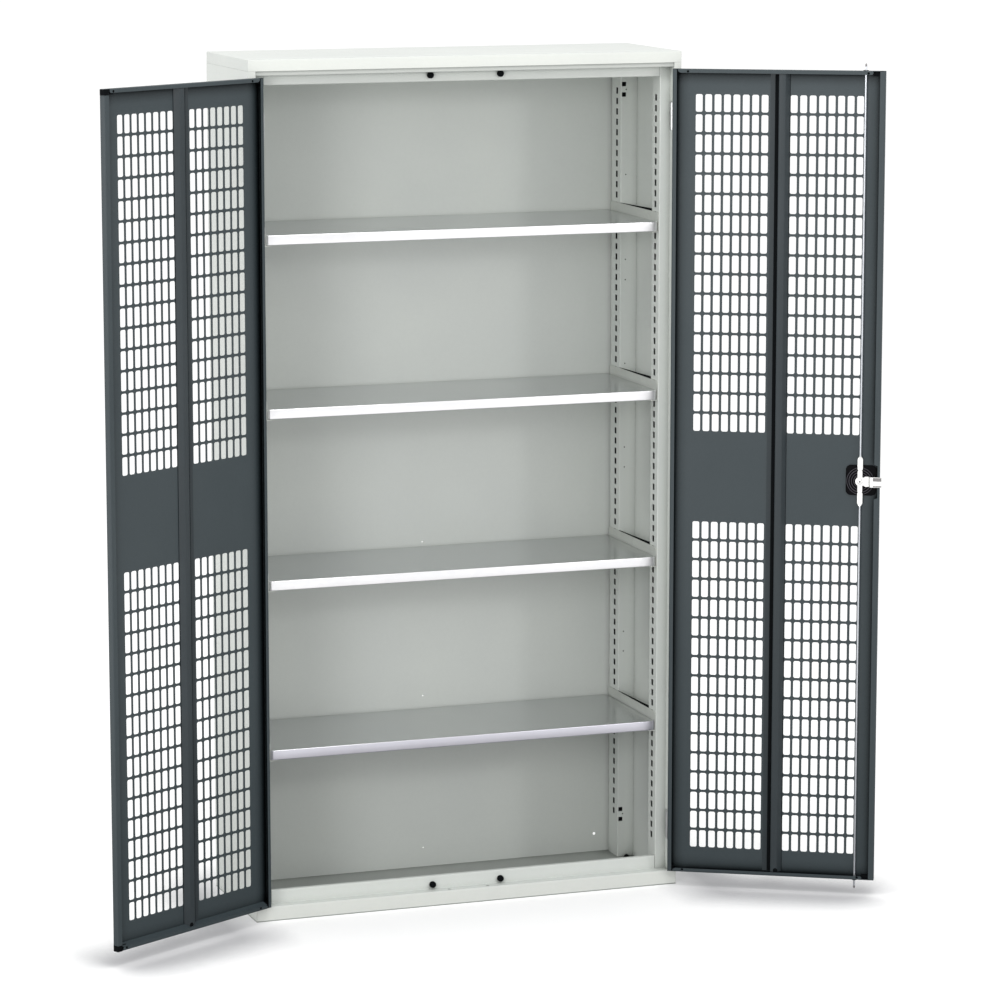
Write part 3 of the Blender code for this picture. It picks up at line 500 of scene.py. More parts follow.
plasticMoulding = dict(
    slot="black_plastic", colour="#060608", worn="#0C0C0F", pitSize=1.2, pitStrength=0.15,
    rough=(0.34, 0.48), ior=1.52, specular=0.05)
blackPlastic = mouldedBlack("blackPlastic", plasticMoulding)
# the same ABS painted lighter on the raised rings, a painted highlight that lets them show on the black case
rubbedPlastic = mouldedBlack("rubbedPlastic", dict(
    plasticMoulding, colour="#2C2A31", worn="#35333A", pitStrength=0.10, rough=(0.30, 0.40), specular=0.4))
# near-black painted shade, for the strips behind the post slots and the bottom of the nut's socket
blackPrimer = mouldedBlack("blackPrimer", dict(
    plasticMoulding, slot="grey_powder_coat", colour="#0A0A0B", worn="#121213", pitSize=2.0,
    pitStrength=0.1, rough=(0.65, 0.80), ior=1.5, specular=0.1))
# soft rubber, which hardly shines at all; the same near-black also draws painted shade strips, blocks and
# domes on the doors and brackets
blackRubber = mouldedBlack("blackRubber", dict(
    plasticMoulding, slot="black_rubber", colour="#090B0D", worn="#101315", pitSize=1.5,
    pitStrength=0.2, rough=(0.60, 0.75), specular=0.04))
print("finishes made")


# Carcass

def sideFace(side, x, depthWay="out"):
    # on an upright face that runs from front to back
    return faceOf((side * x, 0, 0), "back up " + depthWay, side)


facesFront, facesUp = -0.9, 0.7     # how far a normal points that way


def frontWithin(depth):
    # picks the faces that look forward from the first few millimetres of the cabinet; they take the front
    # faces' painted light, and on the header its painted shade
    return lambda face: face.normal.y < facesFront and face.center.y < (frontY + depth) * mm


roofCap = Sizes(corner=1.2, bend=1.2, frontDepth=2)


def makeRoof():
    shape = bmesh.new()
    place = faceOf((0, 0, cabinet.height), "out back down")
    profile = [(0, cabinet.skirt), (0, 0), (sheet + roofCap.bend, 0)]
    foldedPan(shape, place, (-half, frontY), (half, backY), profile, roofCap.corner, roofCap.bend)
    finishPiece("roofCap", shape, greyPowderCoat, others=(frontPowderCoat,),
                chosen=frontWithin(roofCap.frontDepth))


backPanel = Sizes(middleHoles=(50, 430, 810, 1190, 1570, 1950), middleSize=3.5,
                  cornerX=447, cornerLevel=47, cornerSize=7)


def makeBack():
    shape = bmesh.new()
    b = backPanel
    place = faceOf((0, backY - sheet, 0), "out up back")
    holes = [roundHole((0, level), b.middleSize, steps=3) for level in b.middleHoles]
    holes += [roundHole((side * b.cornerX, b.cornerLevel), b.cornerSize) for side in (-1, 1)]
    punchedSheet(shape, place, rectangle(-wallX, stand, wallX, wallTop), holes)
    finishPiece("backPanel", shape, flatPowderCoat)


def makeSide(side, label):
    shape = bmesh.new()
    start, foot = frontY + turnStart, cabinet.plinthBand + gap
    strip = [(returnX, railY - gap), (returnX, frontY), (half, frontY), (half, start)]
    foldedStrip(shape, faceOf((0, 0, 0), "out back up", side), strip, foot, wallTop)
    wall = sideFace(side, half, "in")
    punchedSheet(shape, wall, rectangle(start, stand, backY, wallTop) + [(start, foot)])
    punchedSheet(shape, wall, rectangle(frontY, stand, start, foot))
    finishPiece("sidePanel" + label, shape, greyPowderCoat, others=(frontPowderCoat,),
                chosen=frontWithin(roofCap.frontDepth))


rodHoles = Sizes(across=48, inward=10.5, size=9)
rails = Sizes(joint=1.4,     # the gap that shows at the recessed rails' ends
              headerSetBack=3.5,     # the header stands this far behind the cap's skirt
              frontDepth=6)


def makeRail(name, faceLine, reach, ledgeStart, level, ledgeWay, railLine, faceCoat):
    # a face and its ledge, then the recessed rail between the posts
    shape = bmesh.new()
    along = faceOf((0, 0, 0), "back up out")
    foldedStrip(shape, along, faceLine, -reach, reach)
    ledge = faceOf((0, 0, level), "out back " + ledgeWay)
    holes = [roundHole((side * rodHoles.across, frontY + rodHoles.inward), rodHoles.size)
             for side in (-1, 1)]
    end = returnX - gap
    punchedSheet(shape, ledge, rectangle(-end, ledgeStart, end, railY - cabinet.bend), holes)
    inner = postX - rails.joint
    foldedStrip(shape, along, railLine, -inner, inner)
    finishPiece(name, shape, greyPowderCoat, others=(faceCoat,), chosen=frontWithin(rails.frontDepth))


def makeRails():
    face, start, band = frontY + rails.headerSetBack, frontY + turnStart, cabinet.plinthBand
    ledgeEnd, returnEnd = railY - cabinet.bend, railY + cabinet.railReturn
    faceLine = [(face, wallTop), (face, soffit), (face + turnStart, soffit)]
    railLine = [(ledgeEnd, soffit), (railY, soffit), (railY, headerBottom), (returnEnd, headerBottom)]
    makeRail("headerRail", faceLine, returnX - gap, face + turnStart, soffit, "up", railLine,
             headerPowderCoat)
    faceLine = [(start, band), (frontY, band), (frontY, stand)]
    railLine = [(returnEnd, plinthTop), (railY, plinthTop), (railY, band), (ledgeEnd, band)]
    makeRail("plinthRail", faceLine, wallX, start, band, "down", railLine, frontPowderCoat)


frontPost = Sizes(name="frontPost", start=railY, depth=48, slotInset=26, squares=(), pins=())
rearPost = Sizes(name="rearPost", backGap=8.8, depth=61.5, slotInset=26.5, squares=(97, 122, 1881, 1906),
                 pins=(110, 520, 569, 977, 1026, 1231, 1435, 1484, 1689, 1893))
rearPost.start = backY - sheet - rearPost.backGap - rearPost.depth
postSlots = Sizes(size=(12.5, 15), corner=1.5, pitch=25, first=114, count=72)
postHoles = Sizes(square=10.5, squareCorner=1.2, squareInset=0.5, pin=3.2, pinX=495.5)
postSlotShade = Sizes(behind=7.5, frontInset=2.5, backInset=1.0, wallInset=1.5, endInset=1, thick=0.8)


def makePost(side, label, post):
    # two folded flanges with the slotted web between them
    shape = bmesh.new()
    upright = faceOf((0, 0, 0), "out back up", side)
    front, back = post.start, post.start + post.depth
    foldedStrip(shape, upright, [(postX, front + turnStart), (postX, front), (postX + turnStart, front)],
                stand, wallTop)
    foldedStrip(shape, upright, [(wallX, back), (postX, back), (postX, back - turnStart)], stand, wallTop)
    row = [dict(at=(front + post.slotInset, postSlots.first + i * postSlots.pitch),
                size=postSlots.size, corner=postSlots.corner, steps=2)
           for i in range(postSlots.count)]
    web = rectangle(front + turnStart, stand, back - turnStart, wallTop)
    punchedSheet(shape, sideFace(side, postX), web, row)
    size, flangeX = postHoles.square, postX + turnStart
    holes = [dict(at=(flangeX + size / 2 + postHoles.squareInset, z), size=(size, size),
                  corner=postHoles.squareCorner, steps=2) for z in post.squares]
    holes += [roundHole((postHoles.pinX, z), postHoles.pin, steps=3) for z in post.pins]
    flange = faceOf((0, front, 0), "out up back", side)
    punchedSheet(shape, flange, rectangle(flangeX, stand, wallX, wallTop), holes)
    finishPiece(post.name + label, shape, greyPowderCoat)


def makeLining(side, label, post):
    # a near-black strip behind the post's slots, painted shade that makes the slots read dark
    shape = bmesh.new()
    deep, behind = postX + sheet + postSlotShade.behind, post.start + sheet + postSlotShade.frontInset
    back, end = post.start + post.depth - sheet - postSlotShade.backInset, postSlotShade.endInset
    points = [(deep, back), (deep, behind), (wallX - postSlotShade.wallInset, behind)]
    upright = faceOf((0, 0, 0), "out back up", side)
    foldedStrip(shape, upright, points, stand + end, wallTop - end, postSlotShade.thick)
    finishPiece(post.name + "Lining" + label, shape, blackPrimer, node="")


shelf = Sizes(tops=(400, 800, 1200, 1600), face=23.5, lip=15, sideGap=1.4, backGap=5.5, bend=1.2, corner=7)
bracket = Sizes(sheet=1.5, rise=21, cutBack=5, flange=15.2, endGap=1.5, hookWay=0.75,
                hookHeight=10, hookReach=4, hookDrop=11, hookCut=2)
bracketStrip = Sizes(start=0.5, end=5.5, below=2, thick=1.6)
bracketOuter = postX - gap
bracketInner = bracketOuter - bracket.sheet


def makeShelf(number, top):
    shape = bmesh.new()
    reach = bracketInner - shelf.sideGap
    place = faceOf((0, 0, top), "out back down")
    profile = [(shelf.lip, shelf.face), (0, shelf.face), (0, 0), (sheet + shelf.bend, 0)]
    foldedPan(shape, place, (-reach, railY), (reach, backY - sheet - shelf.backGap), profile,
              shelf.corner, shelf.bend)
    # the upward faces take the painted shade of the shelf tops
    finishPiece("shelf" + str(number), shape, shelfZincBlue if number == 1 else shelfZinc,
                others=(shelfZincDulled,), chosen=lambda face: face.normal.z > facesUp)


def addHook(shape, side, post, level):
    # through the post's slot, turned down behind its web
    thick, cut = bracket.sheet, bracket.hookCut
    middle = post.start + post.slotInset
    place = faceOf((side * (bracketInner + thick / 2), middle - bracket.hookWay, level), "out up back", side)
    reach, tall = thick / 2 + gap + sheet + bracket.hookReach, bracket.hookHeight / 2
    outline = [(0, -tall), (reach, -tall), (reach, tall - cut), (reach - cut, tall), (0, tall)]
    punchedSheet(shape, place, outline, thick=thick)


def makeBracket(side, label, number, top):
    shape = bmesh.new()
    thick, cut, inner = bracket.sheet, bracket.cutBack, bracketInner
    seat, high = top - shelf.face - gap, top + bracket.rise
    bendTop = seat + cabinet.bend
    start, end = railY + bracket.endGap, rearPost.start + rearPost.depth
    foot = [(inner, bendTop), (inner, seat), (inner - bracket.flange, seat)]
    foldedStrip(shape, faceOf((0, 0, 0), "out up back", side), foot, start, end, thick)
    outline = [(start, bendTop), (end, bendTop), (end, high - cut), (end - cut, high),
               (start + cut, high), (start, high - cut)]
    punchedSheet(shape, sideFace(side, inner), outline, thick=thick)
    for post in (frontPost, rearPost):
        addHook(shape, side, post, top - bracket.hookDrop)
    finishPiece("shelfBracket" + str(number) + label, shape, bracketZinc)


def makeBracketStrip(side, label, number, high):
    # a tapered black strip on the bracket's top edge between the posts, painted shade for the shadow gap
    # behind the plate
    shape = bmesh.new()
    first, last = frontPost.start + frontPost.depth, rearPost.start
    below = high - bracketStrip.below
    outline = [(first, below), (last, below), (last, high + bracketStrip.start),
               (first, high + bracketStrip.end)]
    punchedSheet(shape, sideFace(side, bracketOuter), outline, thick=bracketStrip.thick)
    finishPiece("bracketStrip" + str(number) + label, shape, blackRubber, node="")


bumper = Sizes(radius=7.5, across=85, topInset=8, bottomInset=11, length=8.2, dome=2.2,
               rounding=((0, 1), (0.3, 0.5), (0.9, 0.2), (2.2, 0)))     # in from the rim, share of the dome
floorCap = Sizes(radius=6.25, inset=22, postGap=2.2, height=6.5, rim=0.7,
                 domeStart=1, angles=(20, 40, 60, 78))


def makeBumper(side, label, row, level):
    shape = bmesh.new()
    place = faceOf((side * bumper.across, railY - gap, level), "out up front")
    r, length = bumper.radius, bumper.length
    dome = [(r - inward, length - bumper.dome * share) for inward, share in bumper.rounding]
    turned(shape, place, [(0, 0), (r, 0), *dome, (0, length)])
    finishPiece("bumper" + row + label, shape, blackRubber)


def makeFloorCap(side, label):
    shape = bmesh.new()
    r, start = floorCap.radius, floorCap.domeStart
    place = faceOf((side * (half - floorCap.inset), rearPost.start - floorCap.postGap - r, stand),
                   "out back up")
    angles = [math.radians(angle) for angle in floorCap.angles]
    dome = [(r * math.cos(a), start + (floorCap.height - start) * math.sin(a)) for a in angles]
    turned(shape, place, [(0, 0), (r, 0), (r, floorCap.rim), *dome, (0, floorCap.height)])
    finishPiece("floorCap" + label, shape, blackPlastic)


coatNode("floor_panel", floorPowderCoat)
makeRoof()
makeBack()
makeRails()
for side, label in sides:
    makeSide(side, label)
    for post in (frontPost, rearPost):
        makePost(side, label, post)
        makeLining(side, label, post)
for number, top in enumerate(shelf.tops, 1):
    makeShelf(number, top)
    for side, label in sides:
        makeBracket(side, label, number, top)
        makeBracketStrip(side, label, number, top + bracket.rise)
for side, label in sides:
    makeBumper(side, label, "Top", soffit - bumper.topInset)
    makeBumper(side, label, "Bottom", cabinet.plinthBand + bumper.bottomInset)
    makeFloorCap(side, label)
print("carcass made")


# Doors

door = Sizes(
    width=496, low=38.5, high=1960, thick=16, bend=1.2, corner=1.0, angle=150,
    hingeX=501, hingeY=-176.5, hingeBack=3.5, hingeDrop=3.5,
    hingeLip=10, freeLip=13, lipStart=0.6, lipTaper=1, notch=(8, 41, 3))
endLip = Sizes(depth=9, hingeInset=2.6, freeInset=16, leftFreeInset=3, hingeRadius=8.5, freeRadius=4.5,
               land=0.5, holeInsets=(23.5, 11), holeSize=5.6, holeInset=5.7)
safeEdge = Sizes(start=8.4, startDrop=1.3, end=14.6, endRise=0.4, inset=4, thick=0.8)
cornerCap = Sizes(across=12, tall=13.5, thick=0.8, bend=0.3, proud=0.1, foot=2, endGap=0.4)
cornerShadeBlock = Sizes(inset=2.6, tall=12.5, deep=9, lipGap=1.5, edge=0.8, rise=0.2)
slots = Sizes(size=(16, 41), corner=4, pitch=(22, 47), columns=8, rows=17,
              starts=(53, 275), bottoms=(98.3, 1108))
lock = Sizes(fromFree=46.5, level=1000, bore=8.8)
lockAlong = door.width - lock.fromFree
doorTurn = sheet + door.bend


def doorSwing(side):
    # the door's hinge axis, swung open
    return (Matrix.Translation(Vector((side * door.hingeX, door.hingeY, 0)) * mm)
            @ Matrix.Rotation(side * math.radians(door.angle), 4, "Z"))


def doorPlace(side, order, along=0.0, inward=0.0, level=0.0):
    # a place on a door, whose ways are those of the shut door;
    # along is measured from its hinge edge and inward from its outer face
    origin = (-side * (door.hingeBack + along), door.hingeDrop + inward, level)
    return faceOf(origin, order, side, doorSwing(side))


def finishOnDoor(name, label, shape, material, **options):
    finishPiece(name + label, shape, material, "door_" + label.lower(), **options)


def foldLip(shape, place, edge, way, first, last):
    # the fold from a flange into its lip, with the metal inside the door's outline
    flat = door.thick
    points = [(edge, flat - doorTurn), (edge, flat), (edge + way * doorTurn, flat)]
    foldedStrip(shape, place, points if way < 0 else points[::-1], first, last, bend=door.bend)


def addSideLips(shape, side):
    low, high, taper = door.low + door.lipStart, door.high - door.lipStart, door.lipTaper
    for edge, way, lip in ((0, 1, door.hingeLip), (door.width, -1, door.freeLip)):
        foldLip(shape, doorPlace(side, "in back up"), edge, way, low, high)
        inner, outer = edge + way * lip, edge + way * doorTurn
        outline = [(outer, low), (inner, low + taper), (inner, high - taper), (outer, high)]
        if side > 0 and way < 0:
            # room for the lock's case
            deep, tall, slope = door.notch
            level = lock.level
            for end in (1, -1):
                corners = [(inner, level + end * tall), (inner + deep, level + end * (tall - slope))]
                outline[2:2] = corners[::-end]
        punchedSheet(shape, doorPlace(side, "in up front", inward=door.thick), outline)


def arcPoints(centre, radiusU, radiusV, startAngle, endAngle, steps=4):
    # along a quarter of an ellipse
    for step in range(steps + 1):
        angle = startAngle + (endAngle - startAngle) * step / steps
        yield centre[0] + radiusU * math.cos(angle), centre[1] + radiusV * math.sin(angle)


def addEndLips(shape, side):
    # their rounded ends leave dark notches at the corners
    first = door.hingeLip + endLip.hingeInset
    last = door.width - door.freeLip - (endLip.leftFreeInset if side < 0 else endLip.freeInset)
    big, small = endLip.hingeRadius, endLip.freeRadius
    drop = endLip.depth - doorTurn - endLip.land
    for edge, way in ((door.low, 1), (door.high, -1)):
        foldLip(shape, doorPlace(side, "up back in"), edge, way, first, last)
        inner, outer = edge + way * endLip.depth, edge + way * doorTurn
        hingeArc = arcPoints((first + big, inner - way * drop), big, way * drop, 2 * quarterTurn, quarterTurn)
        freeArc = arcPoints((last - small, inner - way * small), small, way * small, quarterTurn, 0)
        outline = [(first, outer), *hingeArc, *freeArc, (last, outer)]
        spots = (first + endLip.holeInsets[0], last - endLip.holeInsets[1])
        level = edge + way * endLip.holeInset
        holes = [roundHole((along, level), endLip.holeSize, steps=3) for along in spots]
        punchedSheet(shape, doorPlace(side, "in up front", inward=door.thick), outline, holes)


def makeDoorPanel(side, label):
    shape = bmesh.new()
    (wide, tall), (pitchAlong, pitchUp) = slots.size, slots.pitch
    alongs = [start + column * pitchAlong + wide / 2
              for start in slots.starts for column in range(slots.columns)]
    levels = [bottom + row * pitchUp + tall / 2 for bottom in slots.bottoms for row in range(slots.rows)]
    holes = [dict(at=(along, level), size=slots.size, corner=slots.corner)
             for along in alongs for level in levels]
    if side > 0:
        holes.append(roundHole((lockAlong, lock.level), lock.bore))
    # the four flanges, mitred round the pan, stop where the lips fold over
    profile = [(0, door.thick - doorTurn), (0, 0), (doorTurn, 0)]
    foldedPan(shape, doorPlace(side, "in up back"), (0, door.low), (door.width, door.high),
              profile, door.corner, door.bend, holes)
    addSideLips(shape, side)
    addEndLips(shape, side)
    finishOnDoor("doorPanel", label, shape, anthracitePowderCoat)


def makeSafeEdge(side, label):
    # the bottom lip's safe edge slopes back down to the skin
    shape = bmesh.new()
    slope = [(door.low + safeEdge.start, door.thick - safeEdge.startDrop),
             (door.low + safeEdge.end, sheet + safeEdge.endRise)]
    foldedStrip(shape, doorPlace(side, "up back in"), slope, door.hingeLip + safeEdge.inset,
                door.width - door.freeLip - safeEdge.inset, safeEdge.thick)
    finishOnDoor("doorSafeEdge", label, shape, anthracitePowderCoat, node="")


def makeCornerCaps(side, label):
    # black caps round the free corners
    c = cornerCap
    outer, top = door.width + c.proud, door.thick + c.proud
    for row, start in (("Lower", door.low + c.endGap), ("Upper", door.high - c.tall)):
        shape = bmesh.new()
        foldedStrip(shape, doorPlace(side, "in back up"),
                    [(door.width - c.across, top), (outer, top), (outer, c.foot)],
                    start, start + c.tall - c.endGap, c.thick, c.bend)
        finishOnDoor("doorCornerCap" + row, label, shape, blackRubber, node="")


def makeCornerBlocks(side, label):
    # black blocks in the pan's corners, painted shade that makes the corner notches read black
    shape = bmesh.new()
    c, low, high, width = cornerShadeBlock, door.low, door.high, door.width
    hingeSide = (c.inset, door.hingeLip + endLip.hingeInset + c.lipGap)
    freeSide = (width - door.freeLip - endLip.freeInset - c.lipGap, width - c.inset)
    for first, last in (hingeSide, freeSide):
        for start, end in ((low + c.inset, low + c.tall), (high - c.tall, high - c.inset)):
            punchedSheet(shape, doorPlace(side, "in up back", inward=sheet + c.rise),
                         rectangle(first, start, last, end), thick=c.deep, edge=c.edge)
    finishOnDoor("doorCornerBlocks", label, shape, blackRubber, node="")


stiffener = Sizes(crest=(248, 273), slope=9, flange=228, depth=11.5, bend=1.2, endGap=9.8)
crestShadeStrips = Sizes(strips=((239, 247.6, 1.4), (273.4, 274.4, -0.8)),     # start, end and rise from the skin
             endGap=1, thick=1, edge=0.2)
crestHoleShade = Sizes(radius=5.5, rise=3.5, seat=0.2, dome=((1, 0), (1, 0.5), (0.85, 0.9), (0.5, 1.1), (0, 1.2)))


skin = sheet + gap          # where the stiffener's feet stand
crest = skin + stiffener.depth
stiffenerLow, stiffenerHigh = door.low + stiffener.endGap, door.high - stiffener.endGap


def makeStiffener(side, label):
    shape = bmesh.new()
    first, last = stiffener.crest
    points = [(last, skin), (last - stiffener.slope, crest), (first, crest), (first, skin + sheet),
              (stiffener.flange, skin + sheet)]
    foldedStrip(shape, doorPlace(side, "in back up"), points, stiffenerLow, stiffenerHigh,
                bend=stiffener.bend)
    finishOnDoor("doorStiffener", label, shape, stiffenerPowderCoat)


def makeSeals(side, label):
    # black strips along both feet of the stiffener, painted shade for the shadow the crest casts and a dark
    # line along its free side
    shape = bmesh.new()
    for first, last, rise in crestShadeStrips.strips:
        outline = rectangle(first, stiffenerLow + crestShadeStrips.endGap, last, stiffenerHigh - crestShadeStrips.endGap)
        punchedSheet(shape, doorPlace(side, "in up back", inward=skin + rise), outline,
                     thick=crestShadeStrips.thick, edge=crestShadeStrips.edge)
    finishOnDoor("stiffenerSeal", label, shape, blackRubber, node="")


def makePlug(side, label):
    # a black dome near the crest's lower end, painted shade for the dark hole there
    shape = bmesh.new()
    middle, level = sum(stiffener.crest) / 2, stiffenerLow + crestHoleShade.rise
    place = doorPlace(side, "in up back", middle, crest - crestHoleShade.seat, level)
    dome = [(crestHoleShade.radius * share, rise) for share, rise in crestHoleShade.dome]
    turned(shape, place, [(0, 0), *dome], steps=28)
    finishOnDoor("stiffenerPlug", label, shape, blackRubber, node="")


hinge = Sizes(levels=(("Lower", 149.3), ("Upper", 1849.2)), length=64, leaf=1.5, leafEdge=0.3,
              barrel=4.5, bore=2.5, soft=0.4, split=0.4, bodyDepth=20.3, bodyCorner=2, bodyClear=0.2,
              bodyHole=4.2, bodyHoleShift=1, doorDepth=14.5)
# how each leaf's web runs into its half of the barrel
hingeWeb = Sizes(bodyStart=2.5, bodyEnd=0.5, bodyExtra=0.3,
                 doorStart=-2.6, doorEnd=2.2, doorExtra=0.6, doorLap=1.4)
screw = Sizes(radius=2.0, spacing=44, inward=10.5, seat=0.1,
              tip=((1, 0), (1, 1.4), (0.85, 2.0), (0.45, 2.4), (0, 2.5)))


def addKnuckle(shape, place, low, high):
    # one rolled length of the barrel, with softened ends
    r, b, soft = hinge.barrel, hinge.bore, hinge.soft
    turned(shape, place, [(b, low), (r - soft, low), (r, low + soft), (r, high - soft), (r - soft, high),
                          (b, high), (b, low)])


def makeBodyLeaf(side, name, low, middle):
    # on the strip's return, with the lower half of the barrel
    shape = bmesh.new()
    end = middle - hinge.split / 2
    addKnuckle(shape, faceOf((side * door.hingeX, door.hingeY, 0), "out back up"), low, end)
    outer, clear = returnX - gap, door.hingeY + hinge.barrel + hinge.bodyClear
    web = [(outer, clear + hingeWeb.bodyStart), (outer, door.hingeY + hingeWeb.bodyEnd)]
    foldedStrip(shape, faceOf((0, 0, 0), "out back up", side), web, low, end, hinge.leaf + hingeWeb.bodyExtra)
    deep = hinge.bodyDepth
    centre = clear + deep / 2
    outline = dict(at=(centre, middle), size=(deep, hinge.length), corner=hinge.bodyCorner)
    holes = [roundHole((centre + hinge.bodyHoleShift, middle + way * screw.spacing / 2), hinge.bodyHole)
             for way in (-1, 1)]
    punchedSheet(shape, sideFace(side, outer, "in"), outline, holes, hinge.leaf, hinge.leafEdge)
    finishPiece("hingeBodyLeaf" + name, shape, hingeSteel)


def makeDoorLeaf(side, name, body, middle, high):
    # against the flange's outer side, with the upper half of the barrel
    shape = bmesh.new()
    start = middle + hinge.split / 2
    upright = doorPlace(side, "in back up")
    addKnuckle(shape, faceOf((0, 0, 0), "out back up", swing=doorSwing(side)), start, high)
    web = [(-gap, hingeWeb.doorStart), (-gap, hingeWeb.doorEnd)]
    foldedStrip(shape, upright, web, start, high, hinge.leaf + hingeWeb.doorExtra)
    leaf = [(-gap, hingeWeb.doorLap), (-gap, hinge.doorDepth)]
    foldedStrip(shape, upright, leaf, high - hinge.length, high, hinge.leaf)
    finishPiece("hingeDoorLeaf" + name, shape, hingeSteel, body)


def makeScrews(side, name, body, middle):
    # screw tips that come through the flange
    shape = bmesh.new()
    for way in (-1, 1):
        place = doorPlace(side, "back up in", sheet + screw.seat, screw.inward,
                          middle + way * screw.spacing / 2)
        tip = [(screw.radius * share, rise) for share, rise in screw.tip]
        turned(shape, place, [(0, 0), *tip], steps=24)
    finishPiece("hingeScrews" + name, shape, lockZinc, body, node="", slot="hinge_steel")


for side, label in sides:
    makeDoorPanel(side, label)
    if label == "Left":
        makeSafeEdge(side, label)
        makeCornerCaps(side, label)
    makeCornerBlocks(side, label)
    makeStiffener(side, label)
    makeSeals(side, label)
    makePlug(side, label)
    for row, middle in hinge.levels:
        coatNode("hinge_pin_" + label.lower() + "_" + row.lower(), hingeSteel)
        makeBodyLeaf(side, label + row, middle - hinge.length / 2, middle)
        makeDoorLeaf(side, label + row, "door_" + label.lower(), middle, middle + hinge.length / 2)
        makeScrews(side, label + row, "door_" + label.lower(), middle)
print("doors made")


# Lock on the right door

lockCase = Sizes(size=72, corner=12, at=(2, 2), start=1.5, thick=3.5, edge=0.8, ringSoft=0.5, ringFoot=1,
                 rings=((32.5, 30.5, 1.6), (27.5, 25.0, 2.4), (21.5, 19.5, 2.4), (16.0, 13.5, 2.4)))
lockPlate = Sizes(size=72, corner=12, at=(0, 0), start=-4.3, thick=4.0, edge=1.2)
# each section is a distance from the grip's inner or outer end, and how much narrower and shorter it is
grip = Sizes(width=20, length=86, inner=-4.6, outer=-24.6, power=4.5,
             innerSections=((2.0, 2.5, 3.5), (3.2, 0.8, 1.2), (5.0, 0, 0)),
             outerSections=((6.0, 0.4, 1.0), (2.5, 1.2, 2.2), (0.8, 2.0, 3.6), (0, 2.9, 5.5)),
             hub=16, hubSteps=((0, 0), (0, 6), (1.5, 9), (5, 12)), hubEnd=13)
keyBarrel = Sizes(radius=7, face=-25.6, depth=12.7, slot=(2.0, 8.0), slotCorner=0.5, slotDepth=3, edge=0.4)
cam = Sizes(start=9.9, sheet=2.5, hub=11, earHalf=5.6, earEnd=27, earCut=3, shoulder=((12, 12), (9, 9.6)),
            tongueHalf=12, tongueBend=19.5, bendRun=2, bend=0.6, slope=6, tongueFace=18.5, tongueEnd=52.2)
pad = Sizes(start=31, endGap=1, corner=0.8, thick=0.55, proud=0.15, edge=0.1,
            spans=(("Upper", 2.5, 10.8), ("Lower", -11.2, -8.2)))
nut = Sizes(radius=6.5, start=12.7, thick=3.0, dome=((1, 1.2), (0.92, 0.5), (0.7, 0.1), (0.45, 0)),
            socket=1.9, socketWall=2.2, socketEnd=2.6)
socketFace = Sizes(gap=0.15, deep=0.7, thick=0.8)


def lockPlace(inward=0.0, order="in up back"):
    # from the spindle's axis
    return doorPlace(1, order, lockAlong, inward, lock.level)


def addLockSheet(shape, place, plate):
    outline = dict(at=plate.at, size=(plate.size, plate.size), corner=plate.corner, steps=8)
    punchedSheet(shape, place, outline, [roundHole((0, 0), lock.bore)], plate.thick, plate.edge)


def makeLockCase():
    # the black inner case, a rounded square that carries moulded rings
    shape = bmesh.new()
    addLockSheet(shape, lockPlace(lockCase.start), lockCase)
    finishPiece("lockCase", shape, blackPlastic, "door_right", "lock_housing")


def makeCaseRings():
    shape = bmesh.new()
    foot, top, soft = lockCase.thick - lockCase.ringFoot, lockCase.thick, lockCase.ringSoft
    for outer, inner, rise in lockCase.rings:
        turned(shape, lockPlace(lockCase.start), [
            (outer, foot), (outer, top + rise - soft), (outer - soft, top + rise), (inner + soft, top + rise),
            (inner, top + rise - soft), (inner, foot), (outer, foot)], steps=64)
    finishPiece("lockCaseRings", shape, rubbedPlastic, "door_right", "")


def makeLockPlate():
    shape = bmesh.new()
    addLockSheet(shape, lockPlace(lockPlate.start), lockPlate)
    finishPiece("lockPlate", shape, blackPlastic, "door_right", "lock_escutcheon")


def camOutline():
    # hub and two ears, symmetrical about the tongue
    r, e, h, end, cut = cam.hub, cam.earHalf, cam.tongueHalf, cam.earEnd, cam.earCut
    foot = math.sqrt(r * r - e * e)
    ear = [(e, foot), (e, end - cut), (e - cut, end), (cut - e, end), (-e, end - cut)]
    upper = [(cam.tongueBend, h), *cam.shoulder, *ear]
    first = math.atan2(foot, -e)
    steps = 14
    angles = [first + (math.tau - 2 * first) * step / steps for step in range(steps + 1)]
    hub = [(r * math.cos(angle), r * math.sin(angle)) for angle in angles]
    return upper + hub + [(x, -y) for x, y in reversed(upper)]


def makeCam():
    # stamped and zinc-plated: hub and two ears in one plate, then the jogged tongue
    shape = bmesh.new()
    bendAt, face, h = cam.tongueBend, cam.tongueFace, cam.tongueHalf
    punchedSheet(shape, lockPlace(cam.start), camOutline(), thick=cam.sheet)
    points = [(bendAt, cam.start), (bendAt + cam.bendRun, cam.start), (bendAt + cam.slope, face),
              (cam.tongueEnd, face)]
    foldedStrip(shape, lockPlace(order="in back up"), points, -h, h, cam.sheet, cam.bend)
    finishPiece("lockCam", shape, lockZinc, "lock_turn")


def makeTonguePads():
    # darker grey pads let into the tongue's end
    end = cam.tongueEnd - pad.endGap
    place = lockPlace(cam.tongueFace + cam.sheet + pad.proud - pad.thick)
    for name, low, high in pad.spans:
        shape = bmesh.new()
        outline = dict(at=((pad.start + end) / 2, (low + high) / 2), size=(end - pad.start, high - low),
                       corner=pad.corner, steps=3)
        punchedSheet(shape, place, outline, thick=pad.thick, edge=pad.edge)
        finishPiece("tonguePad" + name, shape, wornSteel, "lock_turn", "")


